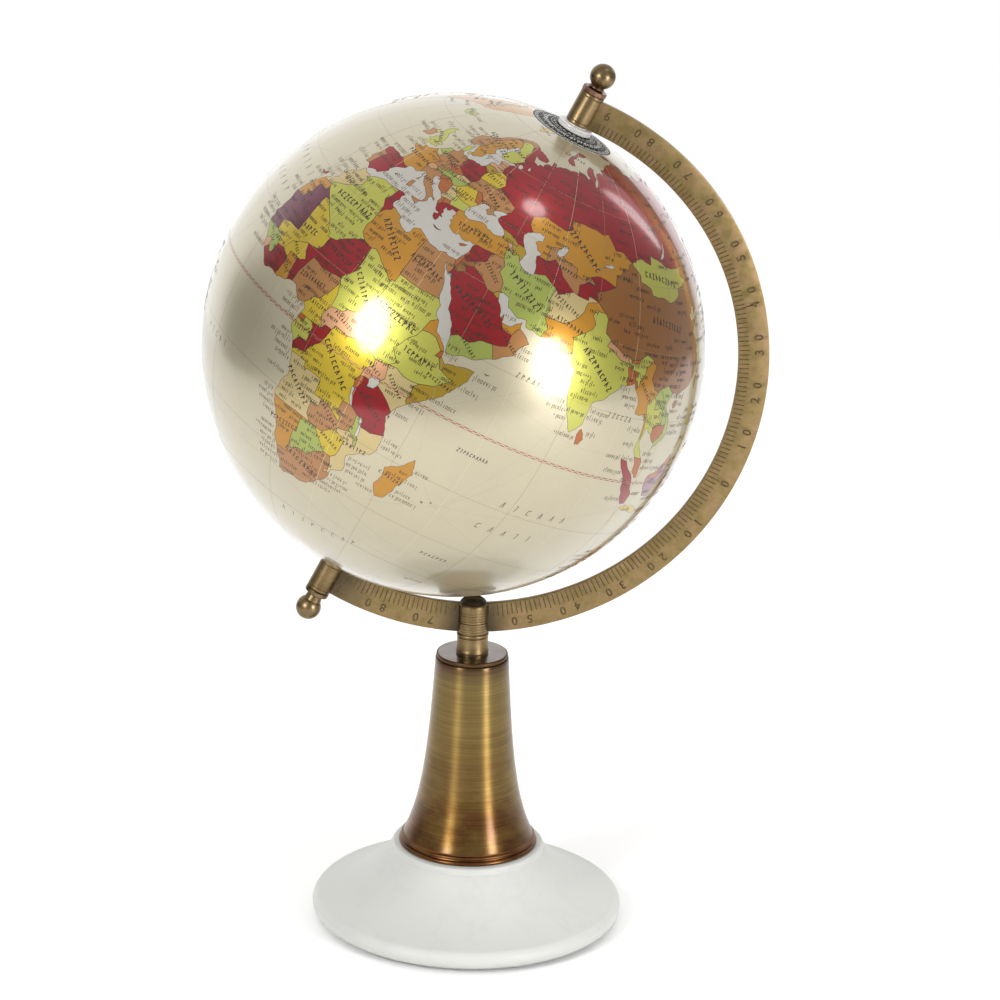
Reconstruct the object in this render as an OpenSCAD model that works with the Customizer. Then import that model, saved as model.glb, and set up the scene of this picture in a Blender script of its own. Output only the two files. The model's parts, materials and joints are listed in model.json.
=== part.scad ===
// Desktop globe: a ball that spins between two pivots of a tilted brass meridian,
// carried by a slotted stem on a flared brass column and a turned marble base.
// Millimetres, +Z up. The origin is on the column's axis, on the surface it stands on.

/* [Ball] */
// Diameter of the finished ball, over its printed map
ball_d = 203.2; // [160:0.1:240]
// Thickness of the hollow shell under the map
shell_t = 2; // [1.5:0.1:4]
// Thickness of the printed map skin
map_t = 0.3; // [0.2:0.1:0.6]
// Half width of the joint ring inside the equator
ring_half_h = 6; // [4:0.5:12]

/* [Meridian] */
// Tilt of the ball's axis from vertical
axis_tilt = 26.8; // [20:0.1:35]
// Radial width of the flat meridian arc
arc_w = 12.6; // [11:0.1:16]
// Inner radius of the meridian arc
arc_inner_r = 104.8; // [104.5:0.05:108]
// Thickness of the meridian arc
arc_t = 2.4; // [2:0.1:4]
// Distance from the arc's centre to the ball's centre, away from the arc's middle
ball_offset = 11.9; // [8:0.1:14]
// How far the ball's centre stands above the arc's, along the spin axis
ball_rise = 0.4; // [0:0.05:1]
// Gap between ball and sleeves at the poles
pole_gap = 2.9; // [2:0.05:3.2]
// How far the sleeves stand out past the arc's edges
arc_inset = 0.7; // [0:0.05:1.5]

/* [Pivots] */
// Diameter of the sleeves at the arc's two ends
sleeve_d = 10; // [8:0.1:11]
// Diameter of the pivot pins where they run in the ball
pin_d = 3.2; // [2.5:0.1:3.6]
// Radial running clearance of the pins in their bushes
pin_clearance = 0.05; // [0.02:0.01:0.1]
// Diameter of the finials' ball heads
finial_d = 10.3; // [9:0.1:12]
// Diameter of the white washers between ball and sleeves
washer_d = 14.4; // [12:0.1:16]

/* [Stem] */
// Diameter of the stem's upper half, around the arc
stem_d = 12.4; // [11.5:0.1:14]
// Height of the arc's seat above the column's cap
seat_h = 9.1; // [8.5:0.05:12]
// Side clearance of the arc in the stem's slot
slot_clearance = 0.05; // [0.02:0.01:0.2]

/* [Column] */
// Height of the column, from the base's collar to the top of its cap
column_h = 84.25; // [70:0.25:110]
// Diameter of the column just under its cap
column_top_d = 30; // [28:0.5:34]
// Widening of the column's foot beyond its straight taper
flare = 9.1; // [6:0.1:11]
// Wall of the spun brass shell
column_t = 1.4; // [1:0.1:2]

/* [Base] */
// Widest diameter of the marble base
base_d = 129; // [120:1:150]
// Height of the base's collar above the surface
base_h = 33; // [30:0.5:40]
// Diameter of the collar that the column stands on
collar_d = 63.2; // [62:0.2:68]
// Thickness of the felt under the base
felt_t = 1.2; // [0.8:0.1:2]

/* [Hidden] */
$fn = 96;

// Ball and arc: the tilted frame has its origin at the ball's centre, its z axis along
// the spin axis towards the upper pole, and its x axis towards the arc's middle.
ball_r = ball_d / 2;
shell_r = ball_r - map_t;
shell_inner_r = shell_r - shell_t;
sleeve_start = ball_r + pole_gap;
arc_outer_r = arc_inner_r + arc_w;
sleeve_end = arc_outer_r + arc_inset;
sleeve_r = sleeve_d / 2;

// Heights up the stand
cap_top_z = base_h + column_h;
seat_z = cap_top_z + seat_h;
arc_centre_z = seat_z + arc_outer_r;
ball_centre = [
    ball_rise * sin(axis_tilt) - ball_offset * cos(axis_tilt), 0,
    arc_centre_z + ball_rise * cos(axis_tilt) + ball_offset * sin(axis_tilt)
];

// Pivot pins and bushes
shank_r = 2;
pin_r = pin_d / 2;
bush_bore_r = pin_r + pin_clearance;
bush_barrel_r = 5;
bush_flange_r = 8;
bush_flange_t = 2;
bush_tail = 9;
pin_reach = 10;
end_play = 0.15;
washer_step = 0.5;
washer_boss_r = 4.7;
fit_gap = 0.02;

// Finials
finial_r = finial_d / 2;
lock_ring_t = 2.2;
lock_ring_r = 5.2;

// Set screw in the stem's rear cheek
screw_r = 1.5;

// Column
foot_top = 4.4;
cap_t = 2.1;
cap_spigot_h = 8;
column_taper = 0.05;
flare_length = 19.1;
flare_start = 2;
column_rings = 20;

// Base
pad_r = 54;
rod_r = 3;
rod_hole_r = 4;
recess_r = 17;
recess_h = 7;
washer_t = 1.6;
nut_h = 5;
nut_flats = 10;

// Points on an ellipse's arc, from angle a0 to a1
function arc_points(cx, cy, rx, ry, a0, a1, n) =
    [for (i = [0:n]) let (a = a0 + (a1 - a0) * i / n) [cx + rx * cos(a), cy + ry * sin(a)]];

// Points between p and q, bowed to the left of the way from p to q
function bowed_points(p, q, bow, n) =
    let (d = q - p, side = [-d[1], d[0]] / norm(d))
    [for (i = [1:n - 1]) let (t = i / n) p + d * t + side * bow * 4 * t * (1 - t)];

// Outer radius of the column at height z above the base's collar
function column_r(z) =
    column_top_d / 2 + column_taper * (column_h - cap_t - z)
    + flare * exp(-(z - flare_start) / flare_length);

module tilted() {
    translate(ball_centre) rotate([0, axis_tilt, 0]) children();
}

module at_lower_pole() {
    mirror([0, 0, 1]) children();
}

// ---- Base ----

module base_outline() {
    rim_r = base_d / 2;
    rim_z = 5.8;
    rim_top = [rim_r - 3.4, 9.9];
    neck = [collar_d / 2 + 1.6, base_h - 4];
    edge = 1.2;
    polygon(concat(
        [[0, felt_t]],
        arc_points(rim_r - 7, rim_z, 7, rim_z - felt_t, -90, 0, 8),
        arc_points(rim_r - 4.2, rim_z, 4.2, 4.3, 12, 68, 5),
        [rim_top],
        bowed_points(rim_top, neck, 2.9, 10),
        [neck, [collar_d / 2 + 0.3, base_h - 2.6]],
        arc_points(collar_d / 2 - edge, base_h - edge, edge, edge, 0, 90, 5),
        [[0, base_h]]
    ));
}

module base_disc() {
    color("#dcdcd7") difference() {
        rotate_extrude() base_outline();
        translate([0, 0, felt_t - 1]) cylinder(r = recess_r, h = recess_h + 1);
        cylinder(r = rod_hole_r, h = base_h + 1);
    }
}

module base_felt() {
    color("#3d3a36") cylinder(r = pad_r, h = felt_t);
}

// ---- Column ----

module foot_ring() {
    bead = 0.9;
    ring_r = column_r(foot_top) + 1;
    color("#8c6a3a") translate([0, 0, base_h]) rotate_extrude() polygon(concat(
        [[ring_r - 6, 0]],
        arc_points(ring_r, bead, bead, bead, -90, 70, 8),
        [[ring_r - 0.35, 2.1]],
        arc_points(ring_r - 0.5, 3, 0.6, 0.6, -60, 80, 5),
        [[column_r(foot_top), foot_top], [ring_r - 6, foot_top]]
    ));
}

module column_shell() {
    outer = [for (i = [0:column_rings])
        let (z = foot_top + (column_h - cap_t - foot_top) * pow(i / column_rings, 1.4))
        [column_r(z), z]];
    inner = [for (i = [column_rings:-1:0]) outer[i] - [column_t, 0]];
    color("#96753f") translate([0, 0, base_h])
        rotate_extrude() polygon(concat(outer, inner));
}

module column_cap() {
    top_r = column_top_d / 2;
    edge = 0.9;
    spigot_r = top_r - column_t - fit_gap;
    color("#8d7d6c") translate([0, 0, cap_top_z]) rotate_extrude() polygon(concat(
        [[rod_r, 0]],
        arc_points(top_r - 0.2 - edge, -edge, edge, edge, 90, 0, 5),
        [[top_r - 0.2, -cap_t + 0.4], [top_r - 0.6, -cap_t], [spigot_r, -cap_t]],
        [[spigot_r, -cap_t - cap_spigot_h], [rod_r, -cap_t - cap_spigot_h]]
    ));
}

// The rod pulls cap, column and base together between the stem and the nut
module tie_rod() {
    rod_start = felt_t + 0.4;
    color("#8f9093") translate([0, 0, rod_start])
        cylinder(r = rod_r, h = seat_z - 2.2 - rod_start);
}

module tie_nut() {
    color("#a3a4a6") translate([0, 0, felt_t + recess_h - washer_t - nut_h]) difference() {
        cylinder(d = nut_flats / cos(30), h = nut_h, $fn = 6);
        translate([0, 0, -1]) cylinder(r = rod_r, h = nut_h + 2);
    }
}

module tie_washer() {
    color("#b1b2b3") translate([0, 0, felt_t + recess_h - washer_t]) difference() {
        cylinder(r = recess_r - 4, h = washer_t);
        translate([0, 0, -1]) cylinder(r = rod_r + 0.2, h = washer_t + 2);
    }
}

// ---- Stem ----

module stem_outline() {
    r = stem_d / 2;
    shoulder = seat_h + 12.65;
    polygon(concat(
        [[0, 0], [r + 0.4, 0]],
        arc_points(r + 0.2, 1.1, 0.35, 0.9, -70, 70, 4),
        [[r + 0.2, 2.3], [r + 0.2, seat_h - 1.95], [r + 0.05, seat_h - 1.75]],
        arc_points(r + 0.1, seat_h - 0.9, 0.35, 0.65, -80, 80, 5),
        [[r, seat_h + 0.05], [r, seat_h + 4.45], [r - 0.35, seat_h + 4.75], [r, seat_h + 5.05]],
        arc_points(r - 1, shoulder - 1, 1, 1, 0, 60, 4),
        arc_points(0, shoulder - 0.6, r - 0.6, 3.5, 20, 90, 7)
    ));
}

module stem() {
    slot = arc_t + 2 * slot_clearance;
    color("#94794a") translate([0, 0, cap_top_z]) difference() {
        rotate_extrude() stem_outline();
        translate([-stem_d, -slot / 2, seat_h]) cube([2 * stem_d, slot, 2 * stem_d]);
        translate([0, 0, -1]) cylinder(r = rod_r, h = seat_h - 2 + 1);
        translate([0, 0, seat_h + arc_w / 2]) rotate([-90, 0, 0])
            cylinder(r = screw_r, h = stem_d);
    }
}
module arc_set_screw() {
    length = stem_d / 2 - arc_t / 2 - 0.6;
    color("#77787b") translate([0, arc_t / 2, seat_z + arc_w / 2]) rotate([-90, 0, 0])
        difference() {
            cylinder(r = screw_r, h = length);
            translate([-screw_r, -0.25, length - 0.8]) cube([2 * screw_r, 0.5, 1]);
        }
}

// ---- Meridian and pivots ----

module meridian_arc() {
    color("#8e7648") tilted() difference() {
        rotate([90, 0, 0]) linear_extrude(arc_t, center = true) difference() {
            translate([ball_offset, -ball_rise]) circle(r = arc_outer_r, $fn = 180);
            translate([ball_offset, -ball_rise]) circle(r = arc_inner_r, $fn = 180);
            translate([-2 * arc_outer_r, -arc_outer_r - 2])
                square([2 * arc_outer_r, 2 * arc_outer_r + 4]);
        }
        cylinder(r = sleeve_r, h = 3 * ball_r, center = true);
    }
}

module pole_sleeve() {
    color("#a08a5c") difference() {
        translate([0, 0, sleeve_start]) cylinder(r = sleeve_r, h = sleeve_end - sleeve_start);
        translate([0, 0, sleeve_start - 1]) cylinder(r = shank_r, h = sleeve_end - sleeve_start + 2);
    }
}

module upper_sleeve() {
    tilted() pole_sleeve();
}

module lower_sleeve() {
    tilted() at_lower_pole() pole_sleeve();
}

// A pivot pin with a ball head: its shank fills the sleeve and its thin end runs in the bush
module pivot_pin(seat, collar_r, collar_t, neck_r, reach) {
    head_z = sleeve_end + seat;
    collar_z = head_z + collar_t;
    centre_z = sleeve_end + reach;
    neck_top = centre_z - sqrt(pow(finial_r, 2) - pow(neck_r + 0.5, 2));
    color("#8a7547") {
        rotate_extrude() polygon(concat(
            [[0, ball_r - pin_reach], [pin_r - 0.4, ball_r - pin_reach]],
            [[pin_r, ball_r - pin_reach + 0.4], [pin_r, sleeve_start]],
            [[shank_r, sleeve_start], [shank_r, head_z], [collar_r - 0.3, head_z]],
            [[collar_r, head_z + 0.3], [collar_r, collar_z - 0.3], [collar_r - 0.3, collar_z]],
            [[neck_r + 0.4, collar_z], [neck_r, (collar_z + neck_top) / 2]],
            [[neck_r + 0.5, neck_top + 0.2], [0, neck_top + 0.4]]
        ));
        translate([0, 0, centre_z]) sphere(r = finial_r);
    }
}

module upper_finial() {
    tilted() pivot_pin(lock_ring_t, 3.4, 0.8, 2.6, 7.9);
}

module lower_finial() {
    tilted() at_lower_pole() pivot_pin(0, sleeve_r, 2.2, 3.2, 9);
}

module upper_lock_ring() {
    edge = 0.5;
    color("#4d443a") tilted() translate([0, 0, sleeve_end]) rotate_extrude() polygon(concat(
        [[shank_r, 0]],
        arc_points(lock_ring_r - edge, edge, edge, edge, -90, 0, 3),
        arc_points(lock_ring_r - edge, lock_ring_t - edge, edge, edge, 0, 90, 3),
        [[shank_r, lock_ring_t]]
    ));
}

// ---- Ball ----

// Upper half of a hollow sphere with a hole at its pole
module half_sphere(outer, inner, hole) {
    rotate_extrude() difference() {
        circle(r = outer, $fn = 180);
        circle(r = inner, $fn = 180);
        translate([-2 * outer, -outer - 1]) square([2 * outer + hole, 2 * outer + 2]);
        translate([-1, -2 * outer]) square([2 * outer, 2 * outer]);
    }
}

module north_shell() {
    color("#b9a98a") tilted()
        half_sphere(shell_r, shell_inner_r, bush_barrel_r + fit_gap);
}

module south_shell() {
    color("#b9a98a") tilted() at_lower_pole()
        half_sphere(shell_r, shell_inner_r, bush_barrel_r + fit_gap);
}

module north_map() {
    color("#cdbf9a") tilted() half_sphere(ball_r, shell_r, bush_barrel_r + fit_gap);
}

module south_map() {
    color("#c4b893") tilted() at_lower_pole()
        half_sphere(ball_r, shell_r, bush_barrel_r + fit_gap);
}

module equator_ring() {
    ring_t = 2;
    color("#a39476") tilted() rotate_extrude() intersection() {
        circle(r = shell_inner_r, $fn = 180);
        translate([shell_inner_r - ring_t, -ring_half_h]) square([2 * ring_t, 2 * ring_half_h]);
    }
}

// Flanged bush that lines the hole at a pole, pushed out from inside the shell
module pole_bush() {
    flange_top = sqrt(pow(shell_inner_r, 2) - pow(bush_flange_r, 2)) - 0.05;
    color("#e4e2dc") difference() {
        union() {
            translate([0, 0, flange_top - 1]) cylinder(r = bush_barrel_r, h = ball_r - flange_top + 1);
            translate([0, 0, flange_top - bush_flange_t]) cylinder(r = bush_flange_r, h = bush_flange_t);
            translate([0, 0, flange_top - bush_tail]) cylinder(r = bush_barrel_r - 1, h = bush_tail);
        }
        translate([0, 0, flange_top - bush_tail - 1])
            cylinder(r = bush_bore_r, h = bush_tail + ball_r - flange_top + 2);
    }
}

module upper_bush() {
    tilted() pole_bush();
}

module lower_bush() {
    tilted() at_lower_pole() pole_bush();
}

module pole_washer() {
    edge = 0.4;
    rim_t = pole_gap - washer_step;
    thick = pole_gap - end_play;
    color("#eceae6") translate([0, 0, ball_r]) rotate_extrude() polygon(concat(
        [[pin_r + 0.3, 0], [washer_d / 2, 0]],
        arc_points(washer_d / 2 - edge, rim_t - edge, edge, edge, 0, 90, 3),
        [[washer_boss_r, rim_t], [washer_boss_r, thick], [pin_r + 0.3, thick]]
    ));
}

module upper_pole_washer() {
    tilted() pole_washer();
}

module lower_pole_washer() {
    tilted() at_lower_pole() pole_washer();
}

base_disc();
base_felt();
foot_ring();
column_shell();
column_cap();
tie_rod();
tie_nut();
tie_washer();
stem();
arc_set_screw();
meridian_arc();
upper_sleeve();
lower_sleeve();
upper_finial();
lower_finial();
upper_lock_ring();
north_shell();
south_shell();
equator_ring();
north_map();
south_map();
upper_bush();
lower_bush();
upper_pole_washer();
lower_pole_washer();
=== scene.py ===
"""Looks of a desktop globe: a foil-printed ball in a tilted, engraved brass meridian,
on a slotted stem, a flared brass column and a turned marble base. Metres, +Z up."""

import json
import math
import random

import bmesh
import bpy
import numpy as np
from mathutils import Matrix, Vector
from mathutils.geometry import delaunay_2d_cdt


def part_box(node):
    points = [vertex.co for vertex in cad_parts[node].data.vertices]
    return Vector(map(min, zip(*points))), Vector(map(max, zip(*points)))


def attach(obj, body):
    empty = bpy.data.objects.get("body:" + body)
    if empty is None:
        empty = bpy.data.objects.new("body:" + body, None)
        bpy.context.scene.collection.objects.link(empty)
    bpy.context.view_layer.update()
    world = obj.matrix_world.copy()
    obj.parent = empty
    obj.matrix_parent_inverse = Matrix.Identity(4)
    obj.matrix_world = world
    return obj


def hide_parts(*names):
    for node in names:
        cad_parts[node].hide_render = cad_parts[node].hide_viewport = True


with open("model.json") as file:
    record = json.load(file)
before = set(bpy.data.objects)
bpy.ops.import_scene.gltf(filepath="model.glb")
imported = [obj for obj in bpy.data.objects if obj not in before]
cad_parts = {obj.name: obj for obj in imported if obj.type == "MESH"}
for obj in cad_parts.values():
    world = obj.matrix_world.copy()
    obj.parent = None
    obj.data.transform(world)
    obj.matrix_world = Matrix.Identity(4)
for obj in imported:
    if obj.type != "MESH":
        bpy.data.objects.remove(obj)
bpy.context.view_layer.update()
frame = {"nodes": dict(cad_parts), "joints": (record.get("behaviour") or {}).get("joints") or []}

MM = 0.001

# ---------------------------------------------------------------- places from the frame

SPIN = frame["joints"][0]
SPIN_AXIS = Vector(SPIN["axis"]).normalized()
BALL_CENTRE = Vector(SPIN["pos_m"])
AXIS_TILT = math.atan2(SPIN_AXIS.x, SPIN_AXIS.z)
# The ball's own frame: z along the spin axis to the north pole, x towards the arc's middle
TILTED = Matrix.Translation(BALL_CENTRE) @ Matrix.Rotation(AXIS_TILT, 4, "Y")
LOWER = TILTED @ Matrix.Rotation(math.pi, 4, "X")


def low(node, axis="z"):
    return getattr(Vector(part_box(node)[0]), axis)


def high(node, axis="z"):
    return getattr(Vector(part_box(node)[1]), axis)


BALL_R = round(high("north_map") - BALL_CENTRE.z, 4)
MAP_T = 0.3 * MM
POLE_GAP = 2.9 * MM
BALL_OFFSET = 11.9 * MM
BALL_RISE = 0.4 * MM
ARC_W = 12.6 * MM
ARC_INNER = 104.8 * MM
ARC_INSET = 0.7 * MM
ARC_T = high("meridian_arc", "y") - low("meridian_arc", "y")
SLEEVE_START = BALL_R + POLE_GAP
ARC_OUTER = ARC_INNER + ARC_W
SLEEVE_END = ARC_OUTER + ARC_INSET
SLEEVE_R = 5 * MM
NUT_T = 2.2 * MM
SEAT_Z = low("meridian_arc")
BASE_TOP = high("base_disc")
FELT_T = high("base_felt")
CAP_TOP = high("column_cap")
COLUMN_H = CAP_TOP - BASE_TOP
STEM_R = 6.2 * MM
COLUMN_TOP_R = 15 * MM
COLUMN_TAPER = 0.05
FLARE = 9.1 * MM
FLARE_REACH = 19.1 * MM
RING_H = 4.4 * MM
CAP_LIP = 2.1 * MM
POLE_HOLE_LAT = 87.17

rng = random.Random(12)

# ---------------------------------------------------------------- mesh helpers


def finish_piece(obj, material, body, stands_for=()):
    """Gives a new object its material, its body and the CAD nodes it replaces."""
    if not obj.data.materials:
        obj.data.materials.append(material)
    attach(obj, body)
    if stands_for:
        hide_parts(*stands_for)
    return obj


def settle(obj):
    """Moves a piece's place into its mesh, so that its bounds are true."""
    obj.data.transform(obj.matrix_world)
    obj.matrix_world = Matrix()


def smooth(mesh, angle=32):
    mesh.shade_smooth()
    mesh.set_sharp_from_angle(angle=math.radians(angle))


def new_object(name, data, place=None):
    """A new object in the scene, at a place if one is given."""
    obj = bpy.data.objects.new(name, data)
    bpy.context.scene.collection.objects.link(obj)
    if place is not None:
        obj.matrix_world = place
    return obj


def mesh_object(name, verts, faces, place=None):
    mesh = bpy.data.meshes.new(name)
    mesh.from_pydata([tuple(v) for v in verts], [], [tuple(f) for f in faces])
    mesh.validate()
    return new_object(name, mesh, place)


def two_tone(obj, main, other, takes_other):
    """Gives a piece two materials. A face takes the other one if takes_other(its centre)."""
    obj.data.materials.clear()
    obj.data.materials.append(main)
    obj.data.materials.append(other)
    for polygon in obj.data.polygons:
        polygon.material_index = int(takes_other(polygon.center))


def arc(cx, cz, rx, rz, start, end, steps):
    """Points of an ellipse's arc, angles in degrees."""
    turns = [math.radians(start + (end - start) * i / steps) for i in range(steps + 1)]
    return [(cx + rx * math.cos(t), cz + rz * math.sin(t)) for t in turns]


def rounded(corners, steps=4):
    """Rounds the corners of a profile: each corner is (radius out, height, fillet)."""
    points = []
    count = len(corners)
    for i, (r, z, fillet) in enumerate(corners):
        here = Vector((r, z))
        if fillet == 0 or i in (0, count - 1):
            points.append((r, z))
            continue
        to_last = Vector(corners[i - 1][:2]) - here
        to_next = Vector(corners[i + 1][:2]) - here
        reach = min(fillet, 0.48 * to_last.length, 0.48 * to_next.length)
        a = here + to_last.normalized() * reach
        b = here + to_next.normalized() * reach
        for k in range(steps + 1):
            t = k / steps
            p = a * (1 - t) ** 2 + here * 2 * t * (1 - t) + b * t * t
            points.append((p.x, p.y))
    return points


def turned(name, profile, place=None, segments=144):
    """Revolves a profile of (radius, height) points. It closes on itself if it leaves the axis."""
    open_ended = profile[0][0] < 1e-7 and profile[-1][0] < 1e-7
    rings = []
    verts = []
    for r, z in profile:
        if r < 1e-7:
            rings.append([len(verts)] * segments)
            verts.append((0, 0, z))
        else:
            rings.append([len(verts) + k for k in range(segments)])
            for k in range(segments):
                turn = 2 * math.pi * k / segments
                verts.append((r * math.cos(turn), r * math.sin(turn), z))
    pairs = list(zip(rings, rings[1:]))
    if not open_ended:
        pairs.append((rings[-1], rings[0]))
    faces = []
    for one, two in pairs:
        for k in range(segments):
            n = (k + 1) % segments
            face = [one[k], one[n], two[n], two[k]]
            faces.append(list(dict.fromkeys(face)))
    obj = mesh_object(name, verts, [f for f in faces if len(f) > 2], place)
    tidy_mesh(obj.data)
    smooth(obj.data)
    return obj


def tidy_mesh(mesh):
    """Joins doubled vertices and turns all faces outwards."""
    work = bmesh.new()
    work.from_mesh(mesh)
    bmesh.ops.remove_doubles(work, verts=work.verts, dist=1e-7)
    bmesh.ops.recalc_face_normals(work, faces=work.faces)
    work.to_mesh(mesh)
    work.free()


def box_faces(base):
    """Faces of a prism whose corners 0 to 3 are its bottom and 4 to 7 its top, from index base."""
    sides = ((0, 3, 2, 1), (4, 5, 6, 7), (0, 1, 5, 4), (1, 2, 6, 5), (2, 3, 7, 6), (3, 0, 4, 7))
    return [[base + i for i in side] for side in sides]


def cut(obj, cutter):
    """Subtracts cutter from obj for good."""
    modifier = obj.modifiers.new("cut", "BOOLEAN")
    modifier.operation = "DIFFERENCE"
    modifier.solver = "MANIFOLD"
    modifier.object = cutter
    result = bpy.data.meshes.new_from_object(obj.evaluated_get(bpy.context.evaluated_depsgraph_get()))
    obj.modifiers.clear()
    obj.data = result
    bpy.data.objects.remove(cutter)


# ---------------------------------------------------------------- material helpers


def srgb(r, g, b):
    """A linear colour from the 0 to 255 values that a screen shows."""
    values = [v / 255 for v in (r, g, b)]
    return tuple(v / 12.92 if v <= 0.04045 else ((v + 0.055) / 1.055) ** 2.4 for v in values) + (1,)


def node(tree, kind, links=(), **settings):
    """Adds a shader node. A setting is a property, or an input's value if the name is an input."""
    made = tree.nodes.new("ShaderNode" + kind)
    for key, value in settings.items():
        if hasattr(made, key):
            setattr(made, key, value)
        else:
            made.inputs[key.replace("_", " ")].default_value = value
    for socket, source in links:
        tree.links.new(source, made.inputs[socket])
    return made


def material(name, **settings):
    """A new material with a Principled shader, whose constant values are set on its sockets."""
    made = bpy.data.materials.new(name)
    made.use_nodes = True
    shader = made.node_tree.nodes["Principled BSDF"]
    for key, value in settings.items():
        shader.inputs[key.replace("_", " ")].default_value = value
    return made, made.node_tree, shader


def noise(tree, scale, detail, roughness, stretch=(1, 1, 1)):
    """Noise in the object's own space, with scale in cycles per metre."""
    coords = node(tree, "TexCoord")
    mapping = node(tree, "Mapping", [("Vector", coords.outputs["Object"])], Scale=stretch)
    made = node(tree, "TexNoise", [("Vector", mapping.outputs["Vector"])],
                Scale=scale, Detail=detail, Roughness=roughness)
    return made.outputs["Fac"]


def ramp(tree, source, stops):
    """A colour ramp over source: stops are (position, colour)."""
    made = node(tree, "ValToRGB", [("Fac", source)])
    band = made.color_ramp.elements
    while len(band) < len(stops):
        band.new(0.5)
    for element, (position, colour) in zip(band, stops):
        element.position = position
        element.color = colour
    return made.outputs["Color"]


def grey(v):
    return (v, v, v, 1)


def fade(tree, source, start, dark, end, light=1.0):
    """A ramp over source, from one grey at start to another at end."""
    return ramp(tree, source, [(start, grey(dark)), (end, grey(light))])


def mix(tree, factor, a, b, blend="MIX"):
    """Mixes two colours. Each of factor, a and b is a socket or a value."""
    made = node(tree, "Mix", data_type="RGBA", blend_type=blend)
    sockets = (made.inputs[0], made.inputs[6], made.inputs[7])
    for socket, value in zip(sockets, (factor, a, b)):
        if isinstance(value, bpy.types.NodeSocket):
            tree.links.new(value, socket)
        else:
            socket.default_value = value
    return made.outputs[2]


def set_colour(tree, shader, colour):
    tree.links.new(colour, shader.inputs["Base Color"])


def wear(tree, shader, source, finest, coarsest):
    """Varies the roughness between two values over source."""
    made = node(tree, "MapRange", [("Value", source)], To_Min=finest, To_Max=coarsest)
    tree.links.new(made.outputs["Result"], shader.inputs["Roughness"])


def lathe_tangent(tree, shader):
    """Turns a stretched highlight round the object's axis, as on lathe work."""
    tangent = node(tree, "Tangent", direction_type="RADIAL", axis="Z")
    tree.links.new(tangent.outputs["Tangent"], shader.inputs["Tangent"])


def bump(tree, shader, height, strength, distance):
    """Adds relief from height on top of any relief that the shader already has."""
    made = node(tree, "Bump", [("Height", height)], Strength=strength, Distance=distance)
    last = shader.inputs["Normal"]
    if last.is_linked:
        tree.links.new(last.links[0].from_socket, made.inputs["Normal"])
    tree.links.new(made.outputs["Normal"], last)

# ---------------------------------------------------------------- map settings

# The meridian that faces the front, the pitch of the plan's grid and of the name grid in degrees
FRONT_LON = 53.3
GRID = 2
RASTER = 0.75
# Shares of the possible places that carry a town's name, also in northern Asia, or a harbour's
TOWN_SHARE = 0.62
SPARSE_SHARE = 0.16
COAST_SHARE = 0.8

# Inks of the printed map
INKS = {
    "sea": srgb(180, 171, 146),
    "shallow": srgb(179, 175, 166),
    "crimson": srgb(133, 22, 28),
    "plum": srgb(97, 38, 56),
    "mauve": srgb(137, 93, 104),
    "orange": srgb(172, 121, 34),
    "yellow": srgb(183, 159, 43),
    "lime": srgb(168, 167, 73),
    "light_green": srgb(145, 155, 74),
    "tan": srgb(158, 112, 66),
    "brown": srgb(135, 88, 43),
    "beige": srgb(181, 162, 112),
    "pink": srgb(181, 136, 99),
    "olive": srgb(153, 127, 33),
    "rust": srgb(158, 88, 40),
}

# Where two waters meet: no ink, but the tint may change
STRAITS = """
    -5.7 35.4  -5.9 36.8
    42.8 12.9  43.6 12.3
    56.1 25.5  56.6 27.4
    10.4 57.3  11.9 58.9
    26 40.5  27.6 40.3
"""

# Shipping routes across the oceans
ROUTES = """
    43.5 12  80 5.5  95 6
    39.8 -4.2  72.8 18.8
    18.3 -34.5  60 -20  80 6
    31.2 -30  57.5 -20.3  104 -6.8
    57.5 -20.3  49.6 -12  43.5 12
    115.5 -32  57.5 -20.3
    31.2 -30  115.5 -32
    18.3 -34.5  70 -42  115 -35.5
    73 6  60 -20
    104 -6.8  115.5 -32
    103.5 1  114 21
    -5.5 36  -40 25  -74 40
    -17.5 14.5  -35 -7  -58 -36
    18.3 -34.5  -43 -23
    -4.7 48.5  -60 46
    139 34.5  -157 21  -122.5 37.5
    -79.5 8.8  -110 -10  173 -41
    153 -33.5  173 -36
    153 -27  -157 21
"""

# Ocean names: longitude, latitude, letters, size in mm, letter spacing
OCEAN_NAMES = (
    (72, -14, 6, 2.9, 3.4), (70, -21.5, 5, 2.9, 3.4), (-38, 26, 8, 2.9, 3.4), (-36, 19, 5, 2.9, 3.4),
    (-22, -18, 5, 2.6, 3.0), (-150, 12, 7, 3.2, 3.4), (-146, 4, 5, 3.2, 3.4), (-130, -24, 7, 3.0, 3.2),
    (60, 15, 7, 1.9, 2.0), (86, 14, 6, 1.9, 2.0), (160, 30, 7, 2.9, 3.2), (20, -48, 8, 2.6, 3.0),
    (-160, 76, 6, 2.2, 2.4), (90, -52, 8, 2.4, 2.8), (64, -36, 7, 1.6, 1.8), (56, -5.5, 10, 1.5, 1.5),
)

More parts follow.
